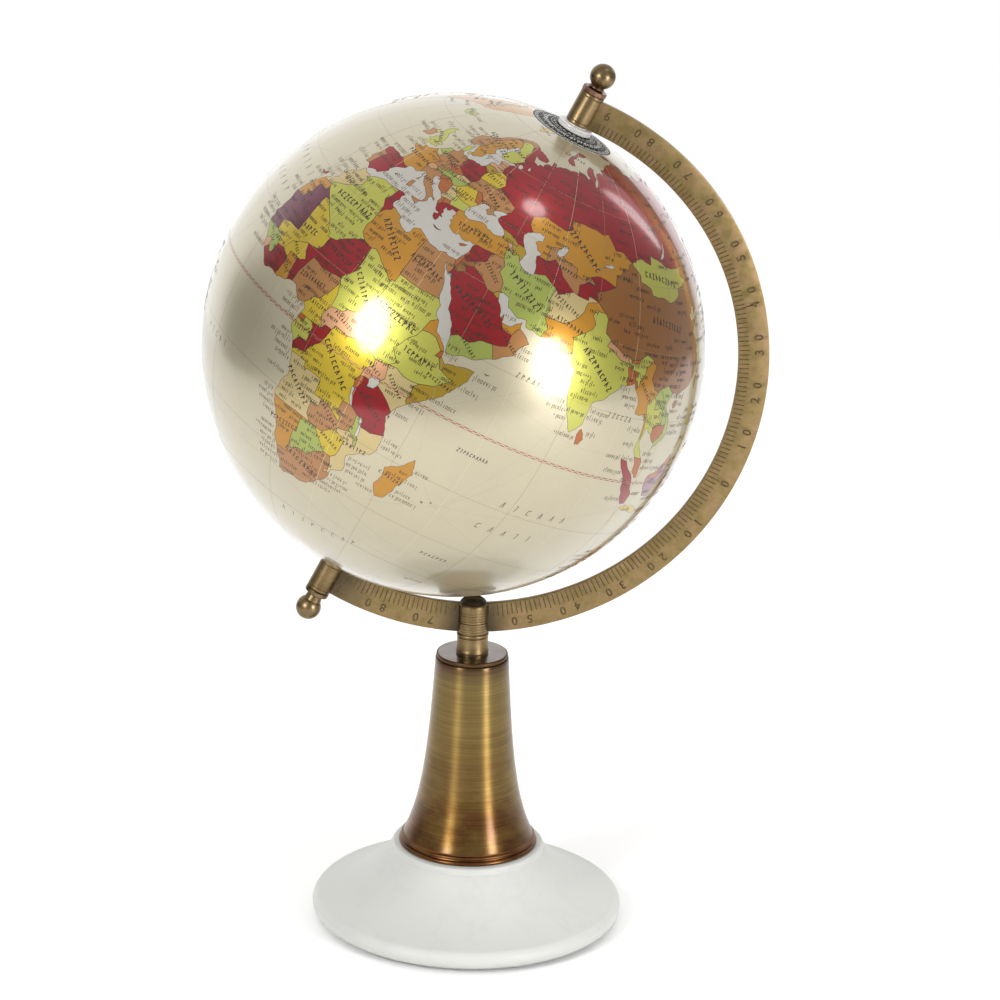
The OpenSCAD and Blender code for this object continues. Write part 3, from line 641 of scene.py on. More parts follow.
# Country borders. Each line runs a little past the coast or border that it ends on.
BORDERS = """
    -2.2 35.5, -1.7 34, -1.3 32.4, -3.6 30.9, -5.5 29.8, -8.7 28.7, -8.7 27.2
    -8.7 27.7, -13.7 27.7
    -8.7 27.3, -8.7 26, -12 26, -12 23.4, -13 23, -13.1 21.3, -17.6 21.3
    -8.7 27.3, -4.8 25, 1.2 21.1, 1.8 20.3, 3.2 19.8, 3.2 19, 4.2 19.1
    -4.8 25, -6.6 25, -6 20.6, -5.3 16.3, -5.4 15.5, -9.3 15.5, -10.8 15.1, -12.2 14.8
    4.2 19.1, 6 19.5, 7.5 20.9, 12 23.5, 10.2 24.6, 9.5 26.4, 9.9 28, 9.5 30.2
    9.5 30.2, 10.2 31.6, 11.5 32.4, 11.5 33.7
    9.5 30.2, 9 32.1, 7.6 33.5, 8.3 35, 8.4 37.4
    12 23.5, 13.5 23.1, 15 23, 16 23.4, 24 19.5, 24 15.7, 22.5 14, 22 12.7, 23 11
    25.2 32.2, 24.8 30, 25 22, 37.4 22
    25 22, 25 20, 24 20, 24 19.5
    15 23, 15.5 20, 15.6 17, 13.5 14.4, 13.6 13.5, 14.2 12.9
    13.6 13.7, 10.5 13.3, 7.5 13, 4.1 13.5, 3.6 11.7, 2.8 9, 2.7 6
    4.2 19.1, 4.2 16.8, 3.5 15.4, 1 15, 0.2 15, 1 13.4, 2.4 11.9, 3.6 11.7
    0.2 15, -2 14.2, -4.3 13, -5.5 10.5, -8 10.2, -8.5 11.3, -9.3 12.3, -11.4 12.2
    -11.4 12.2, -12.2 14.8, -14.5 16.6, -17 16.1
    -11.4 12.2, -13.7 12.6, -17.2 12.4
    -13.8 9, -11 10, -10.5 8.5, -9.3 7.4, -8.4 7.6, -7.5 5.8, -7.5 4
    -10.5 8.5, -11.9 6.7
    -8 10.2, -8.4 7.6
    -5.5 10.5, -2.8 9.6, -2.9 11, 0 11.1, 0.5 8.5, 1.2 5.8
    -2.8 9.6, -2.5 8.2, -3.1 4.7
    0 11.1, 0.9 11, 2.4 11.9
    0.9 11, 1.6 9, 1.7 5.9
    14.2 12.9, 13.3 10.2, 12 7.5, 10.5 7, 8.6 4.3
    14.2 12.9, 15.2 10.5, 15.5 7.5, 18.6 8.1, 19.3 9.1, 21 9.6, 23 11
    15.5 7.5, 14.5 5, 16.1 2.3, 16.6 3.5, 18.6 3.5, 19 4.7, 22.4 4.2, 25 5, 27.4 5.1
    23 11, 23.8 8.8, 27.4 5.1, 29 4.4, 30.8 3.6, 33.5 3.8, 34 4.2
    9.3 2.3, 13.3 2.2, 16.1 2.3
    11.3 2.3, 11.3 1, 9 1
    13.3 2.2, 14.2 1.4, 14.4 -1.5, 14.3 -2.2, 12.4 -2.2, 11 -4.3
    18.6 3.5, 17.7 -0.5, 16.1 -2.2, 15.3 -4.3, 13 -4.7, 11.9 -5.4
    11.9 -6.1, 13 -5.9, 16.5 -5.9, 17 -7.3, 19.5 -7, 21.8 -7.3, 21.9 -11, 24 -11
    24 -11, 25.3 -11.3, 27.2 -11.8, 29.8 -13.4, 29.8 -12.2, 28.4 -11.8, 28.7 -8.5, 31 -8.4
    29.4 -4.4, 29.2 -3.3, 29 -2.7, 29.6 -1.4, 29.7 0.5, 31.2 2.2, 30.8 3.6
    34 4.2, 34.8 1, 33.9 -0.2
    29.6 -1.4, 30.5 -1, 30.8 -2.4, 30 -4.4, 29.2 -4.4
    29 -2.7, 30.8 -2.4
    30.5 -1, 32.2 -1
    33.7 -1, 37.7 -3.3, 39.4 -4.8
    41.6 -1.6, 41 -0.9, 41 2.9, 41.9 3.9
    34 4.2, 36 4.4, 38.1 3.6, 39.6 3.5, 41.9 3.9, 45 5, 48 8, 47 8, 44 9, 42.8 11
    34 4.2, 35.3 5.4, 33 7.9, 34 9.5, 34.3 10.6, 36 12.7, 36.5 14.3, 37 17, 38.8 18.3
    36.5 14.3, 38 14.7, 40 14.5, 42.4 12.5, 43.4 12.8
    42.4 12.5, 41.8 11, 42.8 11, 43.4 11.4
    40.8 -10.5, 37.5 -11.7, 34.7 -11.6
    34.1 -9.8, 33 -9.5, 30.9 -8.3
    33 -9.5, 33.3 -12, 32.7 -13.7, 33.2 -14, 34.5 -14.6, 35.2 -17.1, 35.8 -16, 35.1 -13.8
    33.2 -14, 30.2 -14.8, 30.4 -15.7, 28.9 -16, 27 -17.9, 25.3 -17.8
    24 -11, 24 -13, 22 -13, 22 -16.2, 23.4 -17.6, 25.3 -17.8, 27.7 -20.5, 29.4 -22.2
    11.5 -17.2, 14 -17.4, 18.5 -17.4, 23.4 -17.6
    25.3 -17.8, 21 -18.3, 21 -22, 20 -22, 20 -28.4, 17.4 -28.5, 16.2 -28.8
    20 -24.8, 20.7 -26.9, 22.7 -25.5, 25.7 -25.6, 27 -23.7, 29.4 -22.2
    29.4 -22.2, 31.3 -22.4, 32.4 -21.3, 32.8 -19.5, 33 -17, 31.3 -16, 30.4 -15.7
    31.3 -22.4, 32 -24.4, 32 -26.8, 33 -26.8
    32 -25.9, 31 -26.2, 31 -27.2, 32 -26.8
    28.2 -28.8, 29.4 -29.5, 28 -30.5, 27 -29.7, 28.2 -28.8
    34.1 31.4, 34.95 29.5
    34.95 29.5, 35.5 31.5, 35.7 32.7, 35.6 33.2, 35 33.1
    35.6 33.2, 36.5 34.3, 35.7 34.7
    35.7 32.7, 36.8 32.3, 38.8 33.4, 39.2 32.1, 37 31.4, 38 30.4, 36.1 29.2, 34.95 29.5
    38.8 33.4, 41 34.4, 41.3 36.5, 42.4 37.1
    35.6 36, 36.7 36.8, 38.5 36.8, 42.4 37.1, 44.8 37.2, 44.4 39.4, 44.8 39.7
    41.3 41.5, 43.5 41.1, 44.8 39.7
    43.5 41.1, 45 41.3, 46.5 41.2, 46.4 41.9
    45 41.3, 46.5 38.9
    44.8 39.7, 46.5 38.9, 48 39.6, 49 38.3
    39.8 43.3, 43 43.2, 46.4 41.9, 48.8 41.8
    44.8 37.2, 46 35.8, 45.5 34, 47.6 32.2, 48 30.4, 48.6 29.8
    39.2 32.1, 42 31.1, 44.7 29.2, 46.5 29.1, 47.7 30.1, 48.3 29.9
    46.5 29.1, 47.5 28.6, 48.8 28.5
    50.9 24.9, 51.9 24.8
    51.5 24.4, 52.6 22.9, 55.1 22.7, 55.2 20, 52 19
    55.1 22.7, 55.8 24.2, 56.6 24.9
    52 19, 53.3 16.4
    52 19, 49.1 18.6, 47 17, 44 17.4, 42.5 16.4
    53.7 37.3, 57.2 38.2, 61.2 36.5, 60.6 33.5, 61.7 31.3, 60.9 29.8, 62.8 27.3, 61.6 24.9
    61.2 36.5, 62.5 35.4, 64.5 36.5, 66.5 37.4, 68 37, 71.5 36.9, 71.5 37.9, 74.9 37.3
    60.9 29.8, 66.3 29.9, 69.3 31.9, 71 34, 71.5 36.3, 74.9 37.3
    52.5 41.8, 56 41.3, 58.5 42.7, 61 41.2, 62 39.8, 66.5 37.4
    56 41.3, 56 45, 59.2 45.8
    60 44.4, 62 43.5, 66 42.9, 66.1 41.5, 68.5 40.9, 71 42.3, 74 43.2, 80.2 42.1
    68 37, 67.8 39.5, 70.5 41, 73 40.7, 71 42.3
    70.5 40.3, 73.7 39.5
    74.9 37.3, 73.7 39.5, 76.5 40.4, 80.2 42.1, 80.3 45, 82.5 45.3, 83 47.1, 85.6 47.2
    85.6 47.2, 85.7 48.3, 87.3 49.1
    49.2 46.1, 47 48, 47 50, 50.8 51.6, 55 51, 59.5 50.6, 61.5 51.4, 61 54, 65 54.3
    65 54.3, 71.2 54.2, 74.4 53.6, 76.8 54.3, 80 50.8, 83.4 51, 87.3 49.1
    87.3 49.1, 92.3 50.8, 97.3 49.8, 98.3 52.1, 102.2 51.4, 107 49.9, 113 49.6, 116.7 49.8
    87.3 49.1, 91 46.6, 90.9 45.2, 95.4 44.3, 96.4 42.7, 101.8 42.6, 105 41.6, 110 42.7
    110 42.7, 111.8 43.7, 111.8 45, 115.7 45.5, 119.8 46.7, 116.7 47.9, 116.7 49.8
    116.7 49.8, 119.8 49.8, 120 52.6, 121 53.3, 125.6 53, 127.5 50, 130.5 48.9, 131 47.7
    131 47.7, 134.7 48.4, 133.2 45.1, 131.2 44.9, 130.9 42.1
    131.4 42.2, 128 42, 126.8 41.6, 124 39.8, 123.6 39.3
    126.2 37.8, 128.8 38.6
    67.8 23.8, 71 24.4, 70 27.8, 72.8 29.8, 74.5 31, 75.3 32.3, 74 34, 74.5 35.5, 77.8 35.5
    74.9 37.3, 77.8 35.5, 78.8 34.5, 78.8 32.5, 79 31.3, 81 30.2
    81 30.2, 84 28.9, 86 28, 88.1 27.9, 88.1 26.4, 85 26.7, 80.1 28.8, 81 30.2
    88.1 27.9, 88.9 27.3, 92 27.8, 94.5 29.3, 97.3 28.3
    88.9 27.3, 89 26.8, 92 26.9, 92 27.8
    97.3 28.3, 95 26.5, 94.2 24, 93.3 24, 93.2 22.2, 92.4 21.5, 92 20.5
    89 21.3, 88.8 24, 88.2 25.5, 89.8 26.2, 89.9 25.3, 92.4 25, 91.3 23.5, 92.4 23, 92.8 21.9, 92 21
    97.3 28.3, 98.7 27, 97.6 24.3, 99.4 22.1, 101.2 21.5, 102.1 22.4, 105.3 23.3, 108.1 21.3
    101.2 21.5, 100.1 20.3, 97.8 18.5, 98.7 15.6, 99.2 13, 99 11, 98.4 10
    100.1 20.3, 101 19.6, 101.1 17.6, 104 18.2, 105.5 15.9, 105.2 14.3, 102.5 13.7, 102.8 11.5
    102.1 22.4, 104 20.4, 104.8 19, 107 16.3, 107.5 14.5, 107.5 12.3, 106 11, 104.2 10
    105.2 14.3, 107.5 14.5
    99.5 6.4, 102.8 6.1
    109.3 2, 111 1, 114.5 1.5, 115.7 4.3, 118.2 4.2
    141 -2.2, 141 -9.5
    -9.1 41.9, -6.4 41.6, -7 39.5, -7.2 38, -7.4 36.9
    -1.9 43.7, 0.7 42.7, 3.5 42.4
    7.5 43.4, 7 45.3, 6.9 45.9, 6.1 46.4, 7.6 47.6, 8.2 49, 6.3 49.5, 4.2 49.9, 2.4 51.3
    6.9 45.9, 9 45.9, 10.4 46.8, 12.3 46.9, 13.7 46.5, 13.7 45.4
    7.6 47.6, 9.6 47.5, 13 47.6, 13.7 48.7
    9.6 47.5, 10.4 46.8
    6.3 49.5, 6.1 50.8, 7 52, 7 53.7
    6.1 50.8, 3.2 51.6
    8.2 54.9, 10.3 54.8
    14.3 54.2, 14.7 51, 12.2 50.3, 13.7 48.7, 17 48.8, 18.8 49.5
    14.7 51, 16.5 50.3, 18.8 49.5, 22.5 49.1, 24 50.7, 23.5 52, 23.5 54, 22.8 54.4, 19.5 54.4
    17 48.8, 17 48.1, 16.2 46.9, 13.7 46.5
    17 48.1, 18.8 47.8, 22.2 48.4, 22.5 49.1
    16.2 46.9, 18.9 45.9, 20.3 46.2, 22.9 48, 22.2 48.4
    13.7 45.4, 15.8 46.2, 16.2 46.9
    18.9 45.9, 19 44.9, 19.3 43.5, 18.4 42.2
    20.3 46.2, 21.5 44.8, 22.7 44.2, 22.4 42.3, 23 41.4
    22.7 44.2, 26 43.8, 28.9 43.7
    19.8 39.7, 21 40.9, 23 41.4, 26.3 41.7, 26.1 40.6
    18.8 41.9, 20.5 42.2, 20.6 41.2, 21 40.9
    20.5 42.2, 22.4 42.3
    26.3 41.7, 28.2 42
    22.9 48, 26.6 48.2, 28.2 45.5, 30.2 45.2
    26.6 48.2, 28 48.4, 30.8 45.9
    23.6 51.5, 27 51.6, 30.6 51.3, 31.8 52.1, 34.3 51.3, 37.5 50.4, 40 49.6, 39.8 48, 38.2 46.8
    31.8 52.1, 32.6 53.5, 30.8 55.6, 28.2 56.2, 27.4 57.5, 28 59.7
    21 56.2, 24 56.3, 26.6 55.7, 28.2 56.2
    23.5 54, 25.8 54.3, 26.6 55.7
    24.1 57.9, 27.4 57.5
    22.8 54.4, 21 55.3
    27.6 60.3, 31.5 62.9, 29.5 65, 30 67, 28.5 69, 28.9 69.1, 30.6 70.6
    28.9 69.1, 26 69.9, 20.6 69.1, 23.7 67, 24.1 65.5
    20.6 69.1, 18 68.5, 14.5 66, 12.2 63.8, 12.5 61, 11.8 59.5, 11.1 58.8
    -123.6 49, -95 49, -90 48.2, -84.5 46.4, -82.5 42, -79 43.3, -75 45, -71 45.2, -69 47.4
    -69 47.4, -67 45, -66.5 44.8
    -141 69.9, -141 60.3, -135 59.5, -130 55, -131 54.3
    -117.5 32.5, -114.8 32.6, -111 31.3, -108.2 31.6, -106.5 31.8, -103 29, -101 29.6, -99.3 26.6
    -99.3 26.6, -96.8 25.9
    -92.6 14.2, -91.5 16.1, -90.5 17.8, -89.2 17.9, -87.9 18.4
    -89.2 17.9, -89.2 15.9, -88.2 15.9
    -89.2 15.9, -89.3 14.4, -90.4 13.5
    -89.3 14.4, -87.3 13.2, -85.5 14, -82.9 15
    -86 11.1, -83.4 10.9
    -83 7.9, -82.4 9.7
    -78.1 7.2, -77 8.8
    -71.4 12.4, -72.5 9, -70 7, -67.4 6.2, -67 1.2
    -79.3 1.5, -77.5 0.4, -75.2 -0.2, -70 -4.2, -69.5 0.9, -67 1.2
    -80.7 -3.5, -78.5 -4.8, -75.2 -0.2
    -70 -4.2, -73.8 -7.3, -70.6 -11, -69.5 -11, -69 -15, -69.5 -17.6, -70.7 -18.4
    -69.5 -11, -65.4 -10, -65 -12, -60.2 -13.7, -60 -16.2, -57.7 -17.8, -58 -20
    -58 -20, -62 -20.5, -62.6 -22.2, -68 -22.8, -68.5 -20, -69.5 -17.6
    -58 -20, -57.9 -22, -54.3 -24.3, -54.6 -25.6, -58.6 -27.3, -57.7 -25.3, -62.6 -22.2
    -54.6 -25.6, -53.8 -27, -57.6 -30.2, -58.3 -34.2
    -57.6 -30.2, -53.3 -33.9
    -68 -22.8, -69 -27, -70 -33, -71.5 -39, -72 -47, -72.3 -51, -68.5 -52.3, -68.6 -55.8
    -67 1.2, -64 1.5, -64 4, -60.7 5.2, -59.8 8.6
    -60.7 5.2, -59.8 2, -56.5 1.9, -54.6 2.3, -51.4 4.4
    -57.1 6.3, -56.5 1.9
    -53.9 6, -54.6 2.3
    -71.7 20.1, -71.7 17.7
    -7.2 55.4, -8.1 54.4, -5.9 54
"""

# A point inside each country, grouped by the ink that fills it
FILLS = {
    "sea": "75 -20  -150 -5  -30 0  -86 60  0 84",
    "shallow": """
        18 34.5  34 43.5  51 39.5  38 20  52.5 26.3  36.5 46.2  60 45  33 -1  29.9 -6.2  34.8 -12  34.5 -10.9
        107.5 52.8  77 46.4  32 61  35.7 61.8  20 58  -90 47.3  -86.7 47.3  -86.8 43.8  -81.5 44.8""",
    "crimson": """
        100 62  45 24  9 17.5  35 -6  59 39.5  75 41.6  71 38.7  9.3 34.5  -4 40  22 39.6
        22.3 37.4  15.5 -0.5  -5.5 7.5  -9.3 6.5  2.2 9.5  1 8  38.5 35  101 0  143 49.2
        98 79.5  144 75.6  55 73  54 80.8  181 71.3  -100 58  -70 -35  -69 -54
        19.5 52  -68 -29  -90 14.8  -56 4  175 -38.5  170 -44.5  21.5 54.8  -75 -9
        -62 -16  138 36  142.5 43  131 32.5  133.5 33.6  24.9 35.1  -175 66  -121 73  -110.5 71  -106 75.6
        -77 79.5  -83.5 64.5  -56 49  -83 73  -15.2 28.4  2.9 39.6  39.4 -6  149.2 75.2  51 80.9""",
    "plum": "-10 20  -14.5 14.5",
    "mauve": "114 0  -64 7  129 -3.3  128.1 0.5",
    "orange": """
        18 27  2.5 47  33 39  68 28  -13.5 25  17 -23  46.5 -19  96 21  54 23.4  -1.2 7.7
        38.2 15.8  62 48  27 41.2  16 62.5  9.2 42.3  -75 4  134 -25  146.7 -42
        -102 23  -45 75  -78 21.5  -58 -23  126.5 40  -126 50.2  -53.3 4.1  18.6 57.4  55.6 -21  70 -49.3
        125.4 -9.2  165.4 -21.3""",
    "yellow": """
        23 -3  -2 17.5  12.5 5  29.5 -19  28 53.5  -4 11.8  -150 65
        110 -7.3  -56 -33  24.5 45.8  -85 12.8  18.9 79  57.6 -20.2  118.4 9.7  123.8 10.8
        121.7 15.4  124.7 7.9  156.5 -7.6  159 -9.2""",
    "lime": """
        2 28  30 14  18.5 15  39.5 9  78 22  103 46.5  11.8 -0.6  26.5 63.5  101.5 15.5
        138 -5.5  -2 54  -52 -10  -3 51.5  9 56  -98 39  -72.5 19  -2.5 52.5  25 43
        -155.6 19.6  11.8 55.6  -6.7 54.6""",
    "light_green": """
        54 32.5  46.5 15.5  23.5 -22  103.5 19.5  106.5 20.8  108 14  -14 12  34.5 -13.2
        16.5 47.5  13 47.3  128 37  -87 15  5.5 52.3  -18 65  19.9 47.4  53.9 12.5""",
    "tan": """
        28.5 27  56.5 21  27 -14  22.5 -31  8 9.5  43 33  64 41.3  31 49  34 45.3  10.5 51
        12 43  14.2 37.5  9 40  7.5 62  8 60  -8 40  -8 53  121 -2  -65 48""",
    "brown": "103 34  121 24  110 19.2  37 30.8  -80 -1.5",
    "beige": """
        -6 32  17.5 -12.5  38 0.5  38 -14  33 -23  66 33.8  0 -75  -178 -82  4.5 50.7
        19.2 48.8  -66.7 18.2  20 44""",
    "pink": """
        32.5 1.5  20.5 6.5  84 28.3  8 46.8  24 56.9  144 -6  -84.3 10  -88.5 17.2
        -57 5  26 58.7  45.1 40.3  -70.5 18.9  -59.7 -51.7  150.3 -5.7  -11.5 8.5  31.5 -26.5""",
    "olive": "46.5 5  49 9.8  42.5 42.2  47.5 40.4  24 55.3  -80 8.6  47.7 29.4",
    "rust": """
        80.8 7.5  90 24  102 4.5  113 2.3  105 12.5  28.2 -29.6  42.7 11.7  30 -1.9  30 -3.4
        35.1 32.2  35.8 33.8  20 41  21.7 41.7  15 49.8  17.5 44.2  14.8 45.9  90.5 27.3
        51.2 25.5  -77.3 18.1  10.3 1.7  28.5 47.3  33.3 35.1  119.2 -8.5""",
}

# ---------------------------------------------------------------- the printed map


def read_points(text):
    values = [float(v) for v in text.split()]
    return list(zip(values[::2], values[1::2]))


def roughen(points, wobble, finest, closed):
    """Splits each stretch again and again, moving each new middle point a little to one side."""
    ring = points + points[:1] if closed else points
    out = []
    for a, b in zip(ring, ring[1:]):
        stretch = [a, b]
        while math.dist(stretch[0], stretch[1]) > finest:
            finer = [stretch[0]]
            for p, q in zip(stretch, stretch[1:]):
                side = rng.uniform(-wobble, wobble)
                middle = ((p[0] + q[0]) / 2 - (q[1] - p[1]) * side,
                          (p[1] + q[1]) / 2 + (q[0] - p[0]) * side)
                finer += [middle, q]
            stretch = finer
        out += stretch[:-1]
    return out if closed else out + [points[-1]]


def overshoot(points, reach):
    """Lengthens both ends of a line, so that it meets the roughened line that it ends on."""
    ends = []
    for end, before in ((points[0], points[1]), (points[-1], points[-2])):
        span = math.dist(end, before)
        ends.append(tuple(e + (e - b) * reach / span for e, b in zip(end, before)))
    return ends[:1] + points + ends[1:]


def inside(point):
    return abs(point[0]) <= 180 and abs(point[1]) < POLE_HOLE_LAT - 0.4


class Plan:
    """The flat plan of the map in degrees: constraint lines that a triangulation follows."""

    def __init__(self):
        self.points = []
        self.edges = []
        self.kinds = []

    def line(self, points, kind):
        start = len(self.points)
        self.points += points
        for i in range(len(points) - 1):
            a, b = points[i], points[i + 1]
            if inside(a) or inside(b):
                self.edges.append((start + i, start + i + 1))
                self.kinds.append(kind)

    def grid(self, step):
        columns = [-180 + step * i for i in range(int(360 / step) + 1)]
        heights = [-84 + step * i for i in range(int(168 / step) + 1)]
        heights = [-POLE_HOLE_LAT] + heights + [POLE_HOLE_LAT]
        for lon in columns:
            if lon % 30 == 0:
                self.line_full([(lon, lat) for lat in heights])
            else:
                self.points += [(lon, lat) for lat in heights if lat != 0]
        for lat in (-POLE_HOLE_LAT, 0, POLE_HOLE_LAT):
            self.line_full([(lon, lat) for lon in columns])

    def line_full(self, points):
        start = len(self.points)
        self.points += points
        self.edges += [(start + i, start + i + 1) for i in range(len(points) - 1)]
        self.kinds += ["seam"] * (len(points) - 1)


def draw_plan():
    """The grid, then every coast, border and strait."""
    plan = Plan()
    plan.grid(GRID)
    for text in COASTS.values():
        outline = roughen(read_points(text), 0.1, 1.3, True)
        for turn in (0, -360):
            moved = [(lon + turn, lat) for lon, lat in outline + outline[:1]]
            if turn == 0 or any(lon > -180 for lon, lat in moved):
                plan.line(moved, "coast")
    for text in BORDERS.strip().splitlines():
        points = [tuple(float(v) for v in pair.split()) for pair in text.split(",")]
        plan.line(overshoot(roughen(points, 0.04, 2.0, False), 0.4), "border")
    for text in STRAITS.strip().splitlines():
        plan.line(read_points(text), "strait")
    return plan


class Chart:
    """The plan triangulated and coloured: every triangle has a region and every region an ink."""

    def __init__(self, plan):
        verts, edges, faces, _, made_of, _ = delaunay_2d_cdt(
            [Vector(p) for p in plan.points], plan.edges, [], 0, 1e-5)
        self.verts = np.array([tuple(v) for v in verts])
        self.faces = np.array([f for f in faces if len(f) == 3])
        self.middles = self.verts[self.faces].mean(axis=1)
        within = (abs(self.middles[:, 0]) < 180) & (abs(self.middles[:, 1]) < POLE_HOLE_LAT)
        self.faces = self.faces[within]
        self.middles = self.middles[within]
        kinds = {tuple(sorted(e)): {plan.kinds[i] for i in ids if i < len(plan.kinds)}
                 for e, ids in zip(edges, made_of) if ids}
        self.lines = {e: k - {"seam"} for e, k in kinds.items() if k - {"seam"}}
        self.neighbours = {}
        for f, face in enumerate(self.faces):
            for i in range(3):
                key = tuple(sorted((int(face[i]), int(face[(i + 1) % 3]))))
                self.neighbours.setdefault(key, []).append(f)
        self.find_regions()
        self.colour_regions()

    def find_regions(self):
        links = [[] for _ in self.faces]
        for key, pair in self.neighbours.items():
            if len(pair) == 2 and key not in self.lines:
                links[pair[0]].append(pair[1])
                links[pair[1]].append(pair[0])
        self.region = np.full(len(self.faces), -1)
        count = 0
        for seed in range(len(self.faces)):
            if self.region[seed] >= 0:
                continue
            self.region[seed] = count
            queue = [seed]
            while queue:
                for other in links[queue.pop()]:
                    if self.region[other] < 0:
                        self.region[other] = count
                        queue.append(other)
            count += 1
        self.region_count = count

    def find(self, lon, lat):
        """The region at a place, or -1."""
        a, b, c = (self.verts[self.faces[:, i]] for i in range(3))
        p = np.array((lon, lat))

        def side(u, v):
            return (v[:, 0] - u[:, 0]) * (p[1] - u[:, 1]) - (v[:, 1] - u[:, 1]) * (p[0] - u[:, 0])

        sides = np.stack((side(a, b), side(b, c), side(c, a)))
        hits = np.nonzero((sides >= 0).all(axis=0) | (sides <= 0).all(axis=0))[0]
        return int(self.region[hits[0]]) if len(hits) else -1

    def colour_regions(self):
        self.ink = [None] * self.region_count
        for ink, text in FILLS.items():
            for lon, lat in read_points(text):
                for turn in (0, -360):
                    found = self.find(lon + turn, lat)
                    if found >= 0:
                        self.ink[found] = self.ink[found] or ink
        borders = {}
        for key, pair in self.neighbours.items():
            if len(pair) == 2:
                one, two = (int(self.region[f]) for f in pair)
                if one != two:
                    length = float(np.linalg.norm(self.verts[key[0]] - self.verts[key[1]]))
                    for here, there in ((one, two), (two, one)):
                        if self.ink[here] is None:
                            about = borders.setdefault(here, {})
                            about[there] = about.get(there, 0) + length
        for here, about in borders.items():
            known = {there: length for there, length in about.items() if self.ink[there]}
            if known:
                joined = max(known, key=known.get)
                self.region[self.region == here] = joined
        self.sea = {r for r in range(self.region_count) if self.ink[r] in (None, "sea", "shallow")}


def on_ball(lon, lat, radius):
    """Places on the ball for arrays of longitude and latitude, in the ball's own frame."""
    turn = np.radians(np.asarray(lon, float) - FRONT_LON)
    rise = np.radians(np.asarray(lat, float))
    return radius * np.stack((np.sin(turn) * np.cos(rise), -np.cos(turn) * np.cos(rise),
                              np.sin(rise)), axis=-1)


def radial_normals(mesh):
    """Smooth normals of a true sphere on the skin and film pieces; side walls stay flat."""
    count = len(mesh.vertices)
    places = np.zeros(count * 3, np.float32)
    mesh.vertices.foreach_get("co", places)
    places = places.reshape(-1, 3) - np.array(BALL_CENTRE)
    outward = places / np.linalg.norm(places, axis=1)[:, None]
    mesh.shade_smooth()
    normals = []
    for polygon in mesh.polygons:
        flat = np.array(polygon.normal)
        for corner in polygon.loop_indices:
            radial = outward[mesh.loops[corner].vertex_index]
            along = float(flat @ radial)
            if abs(along) < 0.7:
                normals.append(tuple(flat))
            else:
                normals.append(tuple(radial * math.copysign(1, along)))
    mesh.normals_split_custom_set(normals)


def gore(chart, name, picked, shader):
    """One gore of the map: a thin curved skin with an outer face, an inner face and an edge."""
    faces = chart.faces[picked]
    used, faces = np.unique(faces, return_inverse=True)
    faces = faces.reshape(-1, 3)
    lon, lat = chart.verts[used].T
    count = len(used)
    verts = np.concatenate((on_ball(lon, lat, BALL_R), on_ball(lon, lat, BALL_R - MAP_T)))
    sides = {(int(face[i]), int(face[(i + 1) % 3])): None for face in faces for i in range(3)}
    rim = [(a, b) for a, b in sides if (b, a) not in sides]
    polygons = [tuple(int(i) for i in f) for f in faces]
    polygons += [tuple(int(i) + count for i in f[::-1]) for f in faces]
    polygons += [(b, a, a + count, b + count) for a, b in rim]
    mesh = bpy.data.meshes.new(name)
    mesh.from_pydata([tuple(v) for v in verts], [], polygons)
    obj = new_object(name, mesh, TILTED)
    settle(obj)
    inks = [INKS[chart.ink[r] or "sea"] for r in chart.region[picked]]
    paint = mesh.color_attributes.new("paint", "FLOAT_COLOR", "CORNER")
    values = np.tile(np.array(INKS["sea"], np.float32), (len(mesh.loops), 1))
    side = np.repeat(np.array(inks, np.float32), 3, axis=0)
    values[:len(side)] = side
    values[len(side):2 * len(side)] = side
    paint.data.foreach_set("color", values.ravel())
    radial_normals(mesh)
    finish_piece(obj, shader, "globe")
    return obj


def make_gores(chart, shader):
    north = []
    south = []
    for k in range(12):
        west = -180 + 30 * k
        within = (chart.middles[:, 0] > west) & (chart.middles[:, 0] < west + 30)
        for upper, pieces in ((True, north), (False, south)):
            half = (chart.middles[:, 1] > 0) == upper
            name = f"map_gore_{'north' if upper else 'south'}_{k + 1:02d}"
            pieces.append(gore(chart, name, np.nonzero(within & half)[0], shader))
    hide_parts("north_map")
    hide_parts("south_map")
    return north + south


# ---------------------------------------------------------------- ink on the map


